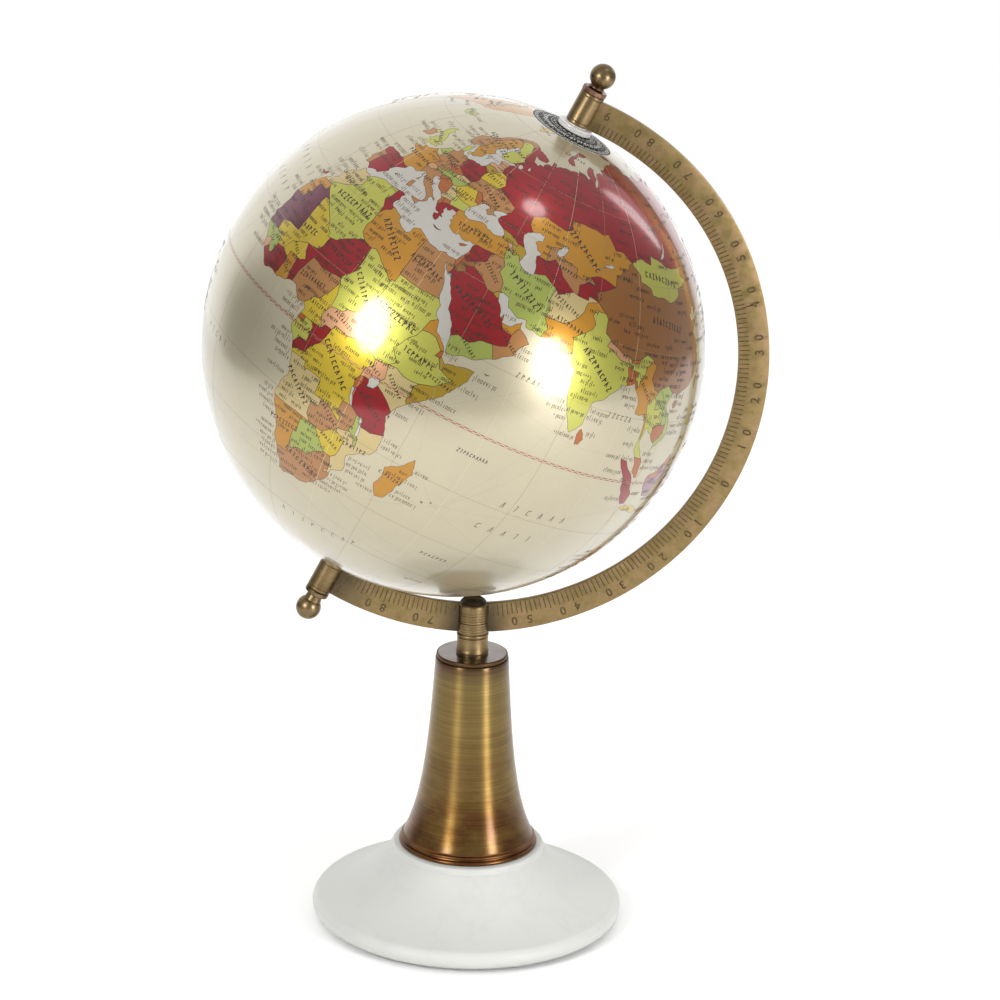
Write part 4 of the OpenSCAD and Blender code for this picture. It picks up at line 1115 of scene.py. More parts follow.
class Film:
    """A thin raised film of ink on the ball, collected patch by patch into one mesh."""

    def __init__(self, name, height, shader):
        self.name = name
        self.top = BALL_R + height
        self.bottom = BALL_R - 0.02 * MM
        self.shader = shader
        self.corners = []

    def patch(self, corners):
        """Adds a patch with four corners, as directions from the ball's centre."""
        self.corners.append(corners)

    def stroke(self, a, b, width, lap=0.5):
        """A straight stroke between two directions; lap is how far it runs past its ends."""
        along = b - a
        length = np.linalg.norm(along)
        if length < 1e-9:
            return
        along /= length
        side = np.cross(a, along)
        side *= width / 2 / np.linalg.norm(side)
        a = a - along * width * lap
        b = b + along * width * lap
        self.patch((a - side, b - side, b + side, a + side))

    def line(self, lon, lat, width, step=1.2):
        """A line through places on the map, split so that it follows the ball."""
        for i in range(len(lon) - 1):
            parts = max(1, math.ceil(math.hypot(lon[i + 1] - lon[i], lat[i + 1] - lat[i]) / step))
            t = np.linspace(0, 1, parts + 1)
            points = on_ball(lon[i] + (lon[i + 1] - lon[i]) * t, lat[i] + (lat[i + 1] - lat[i]) * t, BALL_R)
            for a, b in zip(points, points[1:]):
                self.stroke(a, b, width, 0.1)

    def make(self):
        verts = []
        faces = []
        for patch in self.corners:
            ring = np.array(patch)
            ring /= np.linalg.norm(ring, axis=1)[:, None]
            faces += box_faces(len(verts))
            verts += [tuple(v) for v in ring * self.bottom] + [tuple(v) for v in ring * self.top]
        obj = mesh_object(self.name, verts, faces, TILTED)
        settle(obj)
        radial_normals(obj.data)
        finish_piece(obj, self.shader, "globe")
        return obj


def ink_outlines(chart, shader):
    """Coasts and borders: every line of the chart with two different regions beside it."""
    coast = Film("ink_coasts", 0.014 * MM, shader)
    border = Film("ink_borders", 0.014 * MM, shader)
    for key in chart.lines:
        pair = chart.neighbours.get(key, [])
        if len(pair) != 2:
            continue
        regions = {int(chart.region[f]) for f in pair}
        wet = len(regions & chart.sea)
        if len(regions) < 2 or wet == 2:
            continue
        ends = on_ball(chart.verts[list(key), 0], chart.verts[list(key), 1], BALL_R)
        film, width = (coast, 0.16) if wet else (border, 0.22)
        film.stroke(ends[0], ends[1], width * MM, 0.3)
    return coast.make(), border.make()


def ink_graticule(shader):
    film = Film("ink_graticule", 0.009 * MM, shader)
    for lon in range(-165, 180, 30):
        lat = np.arange(-82.5, 77.6, 2.5)
        film.line(np.full(len(lat), lon), lat, 0.12 * MM)
    for lat in range(-75, 76, 15):
        if lat:
            lon = np.arange(-180, 181, 2.5)
            film.line(lon, np.full(len(lon), lat), 0.12 * MM)
    return film.make()


def ink_equator(shader):
    """The equator: two fine lines with a row of blocks between them."""
    film = Film("ink_equator", 0.012 * MM, shader)
    half = 0.26
    lon = np.arange(-180, 181, 1.5)
    for lat in (-half, half):
        film.line(lon, np.full(len(lon), lat), 0.12 * MM)
    for k in range(360):
        side = half / 2 if k % 2 else -half / 2
        a, b = on_ball([-180 + k, -179 + k], [side, side], BALL_R)
        film.stroke(a, b, 0.3 * MM, 0)
    return film.make()


def ink_routes(shader):
    """Fine curved route lines across the oceans."""
    film = Film("ink_routes", 0.008 * MM, shader)
    for text in ROUTES.strip().splitlines():
        places = read_points(text)
        for start, end in zip(places, places[1:]):
            a, b = on_ball([start[0], end[0]], [start[1], end[1]], 1)
            turn = math.acos(float(np.clip(a @ b, -1, 1)))
            steps = max(2, int(math.degrees(turn) / 1.5))
            last = None
            for i in range(steps + 1):
                t = i / steps
                p = (a * math.sin((1 - t) * turn) + b * math.sin(t * turn)) / math.sin(turn) * BALL_R
                if last is not None:
                    film.stroke(last, p, 0.1 * MM, 0.1)
                last = p
    return film.make()


def ink_seams(shader):
    """Pale joints where the printed gores meet."""
    film = Film("map_gore_joints", 0.008 * MM, shader)
    for lon in range(-180, 180, 30):
        lat = np.arange(-87, 87.1, 1.5)
        film.line(np.full(len(lat), lon + 0.12), lat, 0.11 * MM)
    return film.make()


def ink_pole_ring(black, white):
    """The hour ring around the north pole: a black band with white marks and a thin white rim."""
    inner, outer = 86.7, 80.1
    band = Film("ink_hour_ring", 0.012 * MM, black)
    marks = Film("ink_hour_marks", 0.02 * MM, white)
    rows = np.linspace(outer, inner, 8)
    for k in range(180):
        lon = np.array([2 * k, 2 * k + 2, 2 * k + 2, 2 * k])
        for south, north in zip(rows, rows[1:]):
            band.patch(on_ball(lon, [south, south, north, north], BALL_R))
        reach = 81.4 if k % 6 else 82.3
        a, b = on_ball([2 * k, 2 * k], [outer + 0.35, reach], BALL_R)
        marks.stroke(a, b, 0.17 * MM, 0)
    lon = np.arange(0, 361, 3)
    marks.line(lon, np.full(len(lon), outer - 0.05), 0.2 * MM)
    marks.line(lon, np.full(len(lon), 84.5), 0.14 * MM)
    for hour in range(24):
        greeked(marks, 15 * hour + 3, 82.7, 3, 1.6 * MM, 0.22 * MM, TALL_SHAPES)
        greeked(marks, 15 * hour + 5, 85.0, 2, 0.9 * MM, 0.15 * MM)
    return band.make(), marks.make()


# Strokes of made-up letters in a cell one unit wide and one unit high. They spell nothing.
SMALL_SHAPES = (
    ((0.5, 0), (0.5, 1)),
    ((0.4, 0), (0.4, 1.6)),
    ((0.1, 0), (0.1, 1), (0.8, 0.9), (0.9, 0)),
    ((0.9, 0.9), (0.2, 0.9), (0.1, 0.1), (0.9, 0.1)),
    ((0.1, 1), (0.5, 0), (0.9, 1)),
    ((0.1, 0.1), (0.1, 0.9), (0.9, 0.9), (0.9, 0.1), (0.1, 0.1)),
    ((0.9, 1), (0.9, -0.5)),
    ((0.1, 0.5), (0.9, 0.5), (0.7, 1)),
)
TALL_SHAPES = (
    ((0.1, 0), (0.1, 1), (0.9, 0.2)),
    ((0.1, 0), (0.5, 1), (0.9, 0)),
    ((0.9, 0.9), (0.1, 0.9), (0.1, 0.1), (0.9, 0.1)),
    ((0.5, 0), (0.5, 1), (0.1, 1)),
    ((0.1, 1), (0.9, 1), (0.1, 0), (0.9, 0)),
    ((0.1, 0), (0.1, 1), (0.9, 0.7), (0.1, 0.5)),
)


def greeked(film, lon, lat, letters, size, weight, shapes=SMALL_SHAPES, pitch=0.8, slant=0.0, turn=0.0):
    """A word of unreadable marks that starts at a place and runs along its parallel."""
    start, east = on_ball([lon, lon + 0.01], [lat, lat], BALL_R)
    east = east - start
    east /= np.linalg.norm(east)
    north = np.cross(start, east)
    north /= np.linalg.norm(north)
    if turn:
        c, s = math.cos(turn), math.sin(turn)
        east, north = east * c + north * s, north * c - east * s
    for k in range(letters):
        shape = rng.choice(shapes)
        at = k * pitch * size
        points = [start + east * (at + (x + slant * z) * size * 0.52) + north * z * size for x, z in shape]
        for a, b in zip(points, points[1:]):
            film.stroke(a, b, weight, 0.3)


class Labels:
    """Places greeked names on the map so that they don't run over each other."""

    def __init__(self, chart):
        self.sea = chart.sea
        self.lookup = region_raster(chart)
        self.taken = np.zeros(self.lookup.shape, bool)

    def cell(self, lon, lat):
        rows, columns = self.lookup.shape
        return min(max(int((lat + 90) / RASTER), 0), rows - 1), int((lon + 180) / RASTER) % columns

    def at(self, lon, lat):
        return int(self.lookup[self.cell(lon, lat)])

    def reach(self, letters, size, pitch, lat):
        """Length in degrees of longitude."""
        return math.degrees(letters * pitch * size / BALL_R) / math.cos(math.radians(lat))

    def put(self, film, lon, lat, letters, size, weight, wet=None, shapes=SMALL_SHAPES, pitch=0.8,
            slant=0.0, turn=0.0):
        """Draws a name if its cells are free, and on water or land if wet says so."""
        length = self.reach(letters, size, pitch, lat)
        rise = length * math.cos(math.radians(lat)) * math.sin(turn)
        run = length * math.cos(turn)
        count = max(2, int(length / RASTER / 0.7))
        cells = [self.cell(lon + run * k / count, lat + 0.4 + rise * k / count) for k in range(count + 1)]
        if any(self.taken[c] for c in cells):
            return False
        if wet is not None and any((int(self.lookup[c]) in self.sea) != wet for c in cells):
            return False
        for c in cells:
            self.taken[c] = True
        greeked(film, lon, lat, letters, size, weight, shapes, pitch, slant, turn)
        return True


def ink_lettering(chart, shader, soft):
    """Names of lands, towns, coasts and seas, all as unreadable marks."""
    towns = Film("ink_town_names", 0.017 * MM, shader)
    lands = Film("ink_land_names", 0.017 * MM, shader)
    seas = Film("ink_sea_names", 0.017 * MM, soft)
    labels = Labels(chart)
    for lon, lat, letters, size, spacing in OCEAN_NAMES:
        labels.put(seas, lon, lat, letters, size * MM, 0.28 * MM, None, TALL_SHAPES, spacing * 0.62, 0.35)
    dry = [r for r in range(chart.region_count) if chart.ink[r] and r not in chart.sea]
    for r in dry:
        rows, columns = np.nonzero(labels.lookup == r)
        if len(rows) < 26:
            continue
        lat = float(np.mean(rows)) * RASTER - 90
        lon = float(np.mean(columns)) * RASTER - 180
        span = min(16.0, math.sqrt(len(rows)) * RASTER) * BALL_R * math.radians(1) / MM
        size = min(2.3, max(1.4, span / 9)) * MM
        letters = max(3, min(10, int(span * MM / size)))
        turn = rng.uniform(-0.75, 0.1)
        half = labels.reach(letters, size, 0.95, lat) / 2
        start_lon = lon - half * math.cos(turn)
        start_lat = lat - half * math.sin(turn) * math.cos(math.radians(lat))
        labels.put(lands, start_lon, start_lat, letters, size, 0.2 * size, None, TALL_SHAPES, 0.95, 0, turn)
    place_coast_names(chart, labels, seas)
    for lat in np.arange(-54, 72, 1.7):
        lon = -180.0
        while lon < 178:
            size = rng.uniform(1.05, 1.35) * MM
            letters = rng.randint(4, 9)
            jitter = rng.uniform(-0.3, 0.3)
            share = SPARSE_SHARE if lon > 60 and lat > 30 else TOWN_SHARE
            if rng.random() < share:
                labels.put(towns, lon, lat + jitter, letters, size, 0.23 * MM, False)
            lon += rng.uniform(0.6, 1.3) * labels.reach(letters, size, 0.8, lat) * 0.6
    return towns.make(), lands.make(), seas.make()


def place_coast_names(chart, labels, film):
    """Stacks of harbour names on the water beside every coast, one row under another."""
    for lat in np.arange(-56, 68, 1.7):
        for edge in chart.lines:
            ends = chart.verts[list(edge)]
            if (ends[0, 1] - lat) * (ends[1, 1] - lat) >= 0:
                continue
            lon = float(ends[:, 0].mean())
            letters = rng.randint(5, 10)
            size = rng.uniform(1.2, 1.5) * MM
            length = labels.reach(letters, size, 0.8, lat)
            sides = (labels.at(lon + 1, lat) in labels.sea, labels.at(lon - 1, lat) in labels.sea)
            if sides[0] == sides[1] or rng.random() > COAST_SHARE:
                continue
            start = lon + 0.5 if sides[0] else lon - 0.6 - length
            labels.put(film, start, lat, letters, size, 0.2 * MM, True)


def region_raster(chart):
    """The region at the middle of every cell of a coarse grid, for placing names."""
    rows, columns = int(180 / RASTER), int(360 / RASTER)
    grid = np.full((rows, columns), -1)
    for face, region in zip(chart.faces, chart.region):
        corners = chart.verts[face]
        lowest = np.floor((corners.min(axis=0) + (180, 90)) / RASTER - 0.5).astype(int)
        highest = np.ceil((corners.max(axis=0) + (180, 90)) / RASTER - 0.5).astype(int)
        a, b, c = corners
        for row in range(max(lowest[1], 0), min(highest[1] + 1, rows)):
            for column in range(max(lowest[0], 0), min(highest[0] + 1, columns)):
                x, y = (column + 0.5) * RASTER - 180, (row + 0.5) * RASTER - 90
                s1 = (b[0] - a[0]) * (y - a[1]) - (b[1] - a[1]) * (x - a[0])
                s2 = (c[0] - b[0]) * (y - b[1]) - (c[1] - b[1]) * (x - b[0])
                s3 = (a[0] - c[0]) * (y - c[1]) - (a[1] - c[1]) * (x - c[0])
                if (s1 >= 0 and s2 >= 0 and s3 >= 0) or (s1 <= 0 and s2 <= 0 and s3 <= 0):
                    grid[row, column] = region
    return grid

# ---------------------------------------------------------------- materials


def brass(name, light, dark, rough, patina, anisotropic=0.0, lathe=1500):
    """Antique brass: lathe lines round its axis, cloudy brown patina and fine wear."""
    made, tree, shader = material(name, Metallic=1.0, Roughness=rough, Anisotropic=anisotropic,
                                  Anisotropic_Rotation=0.25)
    clouds = noise(tree, 60, 4, 0.6)
    lines = noise(tree, lathe, 2, 0.5, (0.01, 0.01, 1))
    specks = noise(tree, 900, 2, 0.5)
    tone = fade(tree, clouds, 0.35, 0, 0.7)
    colour = mix(tree, tone, light, dark)
    tint = fade(tree, lines, 0.3, 1 - 0.35 * patina, 0.7)
    colour = mix(tree, 1.0, colour, tint, "MULTIPLY")
    freckle = fade(tree, specks, 0.25, 0.8, 0.45)
    colour = mix(tree, patina, colour, mix(tree, 1.0, colour, freckle, "MULTIPLY"))
    set_colour(tree, shader, colour)
    wear(tree, shader, lines, rough - 0.06, rough + 0.09)
    bump(tree, shader, lines, 0.25, 0.00004)
    if anisotropic:
        lathe_tangent(tree, shader)
    return made


def column_brass():
    """Spun brass of the column: lathe lines everywhere and red-brown patina towards the foot."""
    made, tree, shader = material("spun_brass", Metallic=1.0, Anisotropic=0.88, Anisotropic_Rotation=0.25,
                                  Coat_Weight=0.25, Coat_Roughness=0.16)
    coords = node(tree, "TexCoord")
    height = node(tree, "SeparateXYZ", [("Vector", coords.outputs["Object"])])
    rise = node(tree, "MapRange", [("Value", height.outputs["Z"])],
                From_Min=BASE_TOP + 3 * MM, From_Max=CAP_TOP - 4 * MM)
    gold = ramp(tree, rise.outputs["Result"], [
        (0.0, srgb(155, 128, 66)), (0.5, srgb(150, 126, 67)), (0.93, srgb(140, 119, 68)),
        (1.0, srgb(104, 80, 50))])
    reach = ramp(tree, rise.outputs["Result"], [(0.0, grey(0.95)), (0.3, grey(0.72)), (0.62, grey(0.3)),
                                                (1.0, grey(0.1))])
    blotches = noise(tree, 42, 5, 0.62, (1, 1, 1.6))
    blotch = fade(tree, blotches, 0.36, 0.4, 0.6)
    patina = mix(tree, 1.0, reach, blotch, "MULTIPLY")
    colour = mix(tree, patina, gold, srgb(92, 50, 26))
    bands = noise(tree, 300, 5, 0.7, (0.01, 0.01, 1))
    band = fade(tree, bands, 0.35, 0.72, 0.6)
    colour = mix(tree, 0.5, colour, band, "MULTIPLY")
    lines = noise(tree, 2600, 3, 0.6, (0.012, 0.012, 1))
    line = fade(tree, lines, 0.35, 0.6, 0.6)
    colour = mix(tree, 0.7, colour, line, "MULTIPLY")
    set_colour(tree, shader, colour)
    wear(tree, shader, bands, 0.3, 0.41)
    bump(tree, shader, lines, 0.3, 0.00005)
    lathe_tangent(tree, shader)
    return made


def near(tree, coords, place, full, none):
    """1 within one distance of a place and 0 beyond another."""
    gap = node(tree, "VectorMath", [(0, coords.outputs["Object"])], operation="DISTANCE")
    gap.inputs[1].default_value = place
    made = node(tree, "MapRange", [("Value", gap.outputs["Value"])], From_Min=full, From_Max=none,
                To_Min=1.0, To_Max=0.0)
    return made.outputs["Result"]


def plate_brass():
    """Olive brass of the meridian: mottled with rose, and darker beside the stem and the lower sleeve,
    partly grime and partly painted shade.
    """
    made, tree, shader = material("mottled_plate_brass", Metallic=1.0)
    coords = node(tree, "TexCoord")
    clouds = noise(tree, 170, 4, 0.65)
    colour = ramp(tree, clouds, [(0.34, srgb(130, 113, 72)), (0.5, srgb(141, 120, 82)),
                                                (0.66, srgb(149, 123, 91))])
    rubs = noise(tree, 420, 3, 0.6)
    rub = fade(tree, rubs, 0.32, 0.8, 0.6)
    colour = mix(tree, 0.8, colour, rub, "MULTIPLY")
    # Painted shade with some grime: the plate turns dark grey-brown near the stem and near the lower sleeve,
    # where the parts meet.
    grime_and_painted_shade = srgb(78, 68, 54)
    colour = mix(tree, near(tree, coords, (0, 0, SEAT_Z + 5 * MM), 7 * MM, 17 * MM), colour, grime_and_painted_shade)
    pole = TILTED @ Vector((0, 0, -SLEEVE_END + 6 * MM))
    colour = mix(tree, near(tree, coords, pole, 5 * MM, 24 * MM), colour, grime_and_painted_shade)
    set_colour(tree, shader, colour)
    wear(tree, shader, rubs, 0.34, 0.48)
    bump(tree, shader, rubs, 0.25, 0.00012)
    return made


def patina_black():
    """The dark wax that stays in the engraving."""
    made, tree, shader = material("engraving_patina", Metallic=0.6, Roughness=0.55)
    specks = noise(tree, 700, 3, 0.6)
    set_colour(tree, shader, ramp(tree, specks, [(0.3, srgb(66, 54, 36)), (0.7, srgb(112, 94, 62))]))
    return made


def marble():
    """Honed white marble: nearly plain, with very faint clouds and a satin surface."""
    made, tree, shader = material("white_marble", Subsurface_Weight=0.15, Subsurface_Scale=0.004)
    shader.inputs["Subsurface Radius"].default_value = (1.0, 0.95, 0.85)
    warp = noise(tree, 22, 3, 0.6)
    coords = node(tree, "TexCoord")
    bent = node(tree, "VectorMath", [(0, coords.outputs["Object"])], operation="ADD")
    shift = node(tree, "VectorMath", [(0, warp.node.outputs["Color"])], operation="SCALE", Scale=0.03)
    tree.links.new(shift.outputs["Vector"], bent.inputs[1])
    veins = node(tree, "TexNoise", [("Vector", bent.outputs["Vector"])], Scale=26, Detail=6, Roughness=0.62)
    vein = ramp(tree, veins.outputs["Fac"], [
        (0.0, srgb(194, 196, 192)), (0.47, srgb(195, 196, 192)), (0.5, srgb(192, 193, 190)),
        (0.53, srgb(195, 196, 192)), (1.0, srgb(198, 199, 195))])
    clouds = noise(tree, 14, 2, 0.5)
    cloud = fade(tree, clouds, 0.3, 0.96, 0.7)
    set_colour(tree, shader, mix(tree, 1.0, vein, cloud, "MULTIPLY"))
    crystals = noise(tree, 1800, 2, 0.5)
    wear(tree, shader, crystals, 0.42, 0.55)
    bump(tree, shader, crystals, 0.05, 0.00005)
    return made


def foil_map():
    """Printed pearl foil under clear lacquer: the ink comes from the mesh's own colours."""
    made, tree, shader = material("pearl_foil_print", Metallic=0.62, Roughness=0.3, Specular_IOR_Level=0.15,
                                  Coat_Weight=1.0, Coat_Roughness=0.11, Coat_IOR=1.45)
    paint = node(tree, "Attribute", attribute_name="paint")
    clouds = noise(tree, 28, 4, 0.6)
    soft = fade(tree, clouds, 0.3, 0.93, 0.7)
    flakes = noise(tree, 2400, 2, 0.5)
    glint = fade(tree, flakes, 0.3, 0.93, 0.7)
    colour = mix(tree, 1.0, paint.outputs["Color"], soft, "MULTIPLY")
    colour = mix(tree, 1.0, colour, glint, "MULTIPLY")
    set_colour(tree, shader, colour)
    wear(tree, shader, clouds, 0.27, 0.35)
    bump(tree, shader, flakes, 0.06, 0.00002)
    return made


def ink(name, light, dark, metallic=0.62, coat=1.0, rough=0.3):
    """Printing ink on the foil, under the same lacquer."""
    made, tree, shader = material(name, Metallic=metallic, Roughness=rough, Specular_IOR_Level=0.15,
                                  Coat_Weight=coat, Coat_Roughness=0.11, Coat_IOR=1.45)
    specks = noise(tree, 1500, 2, 0.5)
    set_colour(tree, shader, ramp(tree, specks, [(0.35, dark), (0.65, light)]))
    return made


def steel(name, light, dark, rough):
    """Zinc-plated steel: fine cloudy spangle and turning marks."""
    made, tree, shader = material(name, Metallic=1.0, Roughness=rough)
    spangle = noise(tree, 500, 3, 0.6)
    set_colour(tree, shader, ramp(tree, spangle, [(0.3, dark), (0.7, light)]))
    lines = noise(tree, 2000, 2, 0.5, (0.02, 0.02, 1))
    bump(tree, shader, lines, 0.2, 0.00003)
    return made


def plastic(name, light, dark, rough):
    """Moulded plastic with a faint satin grain."""
    made, tree, shader = material(name, Roughness=rough, Subsurface_Weight=0.08, Subsurface_Scale=0.001)
    clouds = noise(tree, 80, 3, 0.5)
    set_colour(tree, shader, ramp(tree, clouds, [(0.3, dark), (0.7, light)]))
    fine = noise(tree, 1600, 2, 0.5)
    bump(tree, shader, fine, 0.15, 0.00003)
    return made


def felt():
    """Pressed dark felt with a fibrous surface."""
    made, tree, shader = material("dark_felt", Roughness=0.95, Sheen_Weight=0.4, Sheen_Roughness=0.5)
    fibres = noise(tree, 1400, 6, 0.75)
    set_colour(tree, shader, ramp(tree, fibres, [(0.3, srgb(40, 37, 33)), (0.7, srgb(78, 73, 66))]))
    bump(tree, shader, fibres, 0.8, 0.0003)
    return made


# ---------------------------------------------------------------- base and column


def column_r(z):
    """Outer radius of the column at a height above the base's collar, all in metres."""
    straight = COLUMN_TOP_R + COLUMN_TAPER * (COLUMN_H - CAP_LIP - z)
    return straight + FLARE * math.exp(-(z - 2 * MM) / FLARE_REACH)


def make_base(shader):
    """Turned marble: felt-side edge, bull-nose rim, bowed flare and rounded collar."""
    rim = 64.5 * MM
    collar = 31.6 * MM
    top = BASE_TOP
    profile = [(54 * MM, FELT_T)]
    profile += arc(rim - 7 * MM, 5.8 * MM, 7 * MM, 5.8 * MM - FELT_T, -88, 8, 14)
    profile += arc(rim - 4.1 * MM, 5.9 * MM, 4.1 * MM, 4.2 * MM, 16, 66, 8)
    rim_top = Vector((rim - 3.4 * MM, 9.9 * MM))
    neck = Vector((collar + 1.6 * MM, top - 4 * MM))
    way = neck - rim_top
    side = Vector((-way.y, way.x)).normalized()
    for i in range(25):
        t = i / 24
        p = rim_top + way * t + side * 2.9 * MM * 4 * t * (1 - t)
        profile.append((p.x, p.y))
    profile.append((collar + 0.25 * MM, top - 2.6 * MM))
    profile += arc(collar - 1.2 * MM, top - 1.2 * MM, 1.2 * MM, 1.2 * MM, 0, 90, 6)
    profile += [(4 * MM, top), (4 * MM, FELT_T + 7 * MM), (17 * MM, FELT_T + 7 * MM), (17 * MM, FELT_T)]
    base = turned("marble_base", profile, segments=224)
    smooth(base.data, 24)
    return finish_piece(base, shader, "stand", ["base_disc"])


def make_foot_ring(shader):
    """Double bead at the column's foot, with a dark groove between the beads."""
    r = column_r(RING_H) + 1 * MM
    z = BASE_TOP
    profile = [(r - 6 * MM, z)]
    profile += arc(r, z + 0.9 * MM, 0.9 * MM, 0.9 * MM, -90, 75, 10)
    profile += [(r - 0.35 * MM, z + 1.95 * MM), (r - 0.5 * MM, z + 2.25 * MM)]
    profile += arc(r - 0.5 * MM, z + 3.05 * MM, 0.62 * MM, 0.62 * MM, -60, 80, 8)
    profile += [(r - 0.9 * MM, z + 3.8 * MM), (r - 1 * MM, z + RING_H), (r - 6 * MM, z + RING_H)]
    ring = turned("foot_beads", profile, segments=192)
    return finish_piece(ring, shader, "stand", ["foot_ring"])


def make_column(shader):
    """Spun shell: the flared outline with a small lip at the top, and the same outline inside."""
    start, end = RING_H, COLUMN_H - CAP_LIP
    steps = 60
    heights = [start + (end - start) * (i / steps) ** 1.2 for i in range(steps + 1)]
    outer = [(column_r(z), BASE_TOP + z) for z in heights]
    lip = [(outer[-1][0] - 0.15 * MM, outer[-1][1] + 0.12 * MM)]
    inner = [(r - 1.4 * MM, z) for r, z in reversed(outer)]
    column = turned("spun_column", outer[:-1] + [(outer[-1][0], outer[-1][1] - 0.1 * MM)] + lip + inner,
                    segments=192)
    return finish_piece(column, shader, "stand", ["column_shell"])


def make_cap(shader, rim_shader):
    """Polished disc with a spigot and a darker, rounded rim."""
    r = 14.8 * MM
    groove_r = r - 0.55 * MM
    spigot_r = 13.58 * MM
    hole_r = 3 * MM
    z = CAP_TOP
    spigot_end = z - CAP_LIP - 8 * MM
    profile = rounded([
        (hole_r, z, 0), (r, z, 1.1 * MM), (r, z - 1.5 * MM, 0.3 * MM), (groove_r, z - 1.75 * MM, 0.2 * MM),
        (groove_r, z - CAP_LIP, 0), (spigot_r, z - CAP_LIP, 0), (spigot_r, spigot_end, 0),
        (hole_r, spigot_end, 0)], 6)
    cap = turned("mirror_cap", profile, segments=192)
    two_tone(cap, shader, rim_shader, lambda c: math.hypot(c.x, c.y) > r - 0.9 * MM)
    return finish_piece(cap, shader, "stand", ["column_cap"])


def make_stem(shader, dome_shade_shader):
    """Slotted stem: smooth foot, bead, ringed upper half with a groove, and a domed top."""
    z = CAP_TOP
    r = STEM_R
    seat = SEAT_Z
    shoulder = seat + 12.65 * MM
    profile = [(0, z), (r + 0.4 * MM, z)]
    profile += arc(r + 0.2 * MM, z + 1.1 * MM, 0.35 * MM, 0.9 * MM, -60, 70, 6)
    profile += [(r + 0.2 * MM, z + 2.3 * MM), (r + 0.2 * MM, seat - 2 * MM),
                (r - 0.05 * MM, seat - 1.75 * MM)]
    profile += arc(r + 0.1 * MM, seat - 0.9 * MM, 0.35 * MM, 0.65 * MM, -80, 80, 8)
    ring_pitch = 1.15 * MM
    ring_count = 9
    deep_ring = 4
    for k in range(ring_count):
        foot = seat + 0.1 * MM + k * ring_pitch
        depth = 0.42 * MM if k == deep_ring else 0.14 * MM
        profile += [(r - depth, foot), (r - 0.03 * MM, foot + 0.2 * MM),
                    (r, foot + 0.5 * ring_pitch), (r - 0.03 * MM, foot + ring_pitch - 0.15 * MM)]
    profile += arc(r - 1 * MM, shoulder - 1 * MM, 1 * MM, 1 * MM, 0, 60, 5)
    profile += arc(0, shoulder - 0.6 * MM, r - 0.62 * MM, 3.5 * MM, 20, 88, 10)
    profile.append((0, shoulder + 2.9 * MM))
    stem = turned("slotted_stem", profile, segments=128)
    half = ARC_T / 2 + 0.05 * MM
    wide = 2 * r
    corners = [(x, y, h) for h in (seat, seat + 30 * MM) for x, y in
               ((-wide, -half), (wide, -half), (wide, half), (-wide, half))]
    cut(stem, mesh_object("slot_cutter", corners, box_faces(0)))
    # The set screw's hole runs out through the rear cheek, level with the arc's middle
    hole_r = 1.5 * MM
    hole_end = 12 * MM
    rearwards = Matrix.Translation((0, 0, seat + ARC_W / 2)) @ Matrix.Rotation(-math.pi / 2, 4, "X")
    cut(stem, turned("hole_cutter", [(0, 0), (hole_r, 0), (hole_r, hole_end), (0, hole_end)], rearwards, 48))
    smooth(stem.data)
    # The domed top takes a darker brass, which is painted shade from the ball above it.
    two_tone(stem, shader, dome_shade_shader, lambda c: c.z > shoulder + 0.2 * MM)
    return finish_piece(stem, shader, "stand", ["stem"])


# ---------------------------------------------------------------- meridian and pivots


def plate_point(radial, turn, side):
    """A point of the meridian plate: radius from the arc's centre, turn in degrees, y offset."""
    a = math.radians(turn)
    return (BALL_OFFSET + radial * math.cos(a), side, radial * math.sin(a) - BALL_RISE)


def make_arc(shader, dark):
    """The meridian: a chamfered plate with degree ticks and numbers cut into both faces."""
    half = ARC_T / 2
    chamfer = 0.25 * MM
    a, b = ARC_INNER, ARC_OUTER
    section = [(a, -half + chamfer), (a + chamfer * 0.3, -half + chamfer * 0.3), (a + chamfer, -half),
               (b - chamfer, -half), (b - chamfer * 0.3, -half + chamfer * 0.3), (b, -half + chamfer)]
    section += [(r, -y) for r, y in reversed(section)]
    end = 94.8
    steps = 190
    verts = []
    faces = []
    count = len(section)
    for i in range(steps + 1):
        turn = -end + 2 * end * i / steps
        verts += [plate_point(r, turn, y) for r, y in section]
    for i in range(steps):
        for k in range(count):
            n = (k + 1) % count
            faces.append((i * count + k, i * count + n, (i + 1) * count + n, (i + 1) * count + k))
    faces.append(tuple(range(count))[::-1])
    faces.append(tuple(steps * count + k for k in range(count)))
    plate = mesh_object("engraved_meridian", verts, faces)
    tidy_mesh(plate.data)
    cut(plate, engraving(half))
    plate.matrix_world = TILTED
    smooth(plate.data, 30)

    def engraved(c):
        radial = math.hypot(c.x - BALL_OFFSET, c.z + BALL_RISE)
        return abs(c.y) < half - 0.04 * MM and a + 0.5 * MM < radial < b - 0.5 * MM

    two_tone(plate, shader, dark, engraved)
    settle(plate)
    return finish_piece(plate, shader, "stand", ["meridian_arc"])


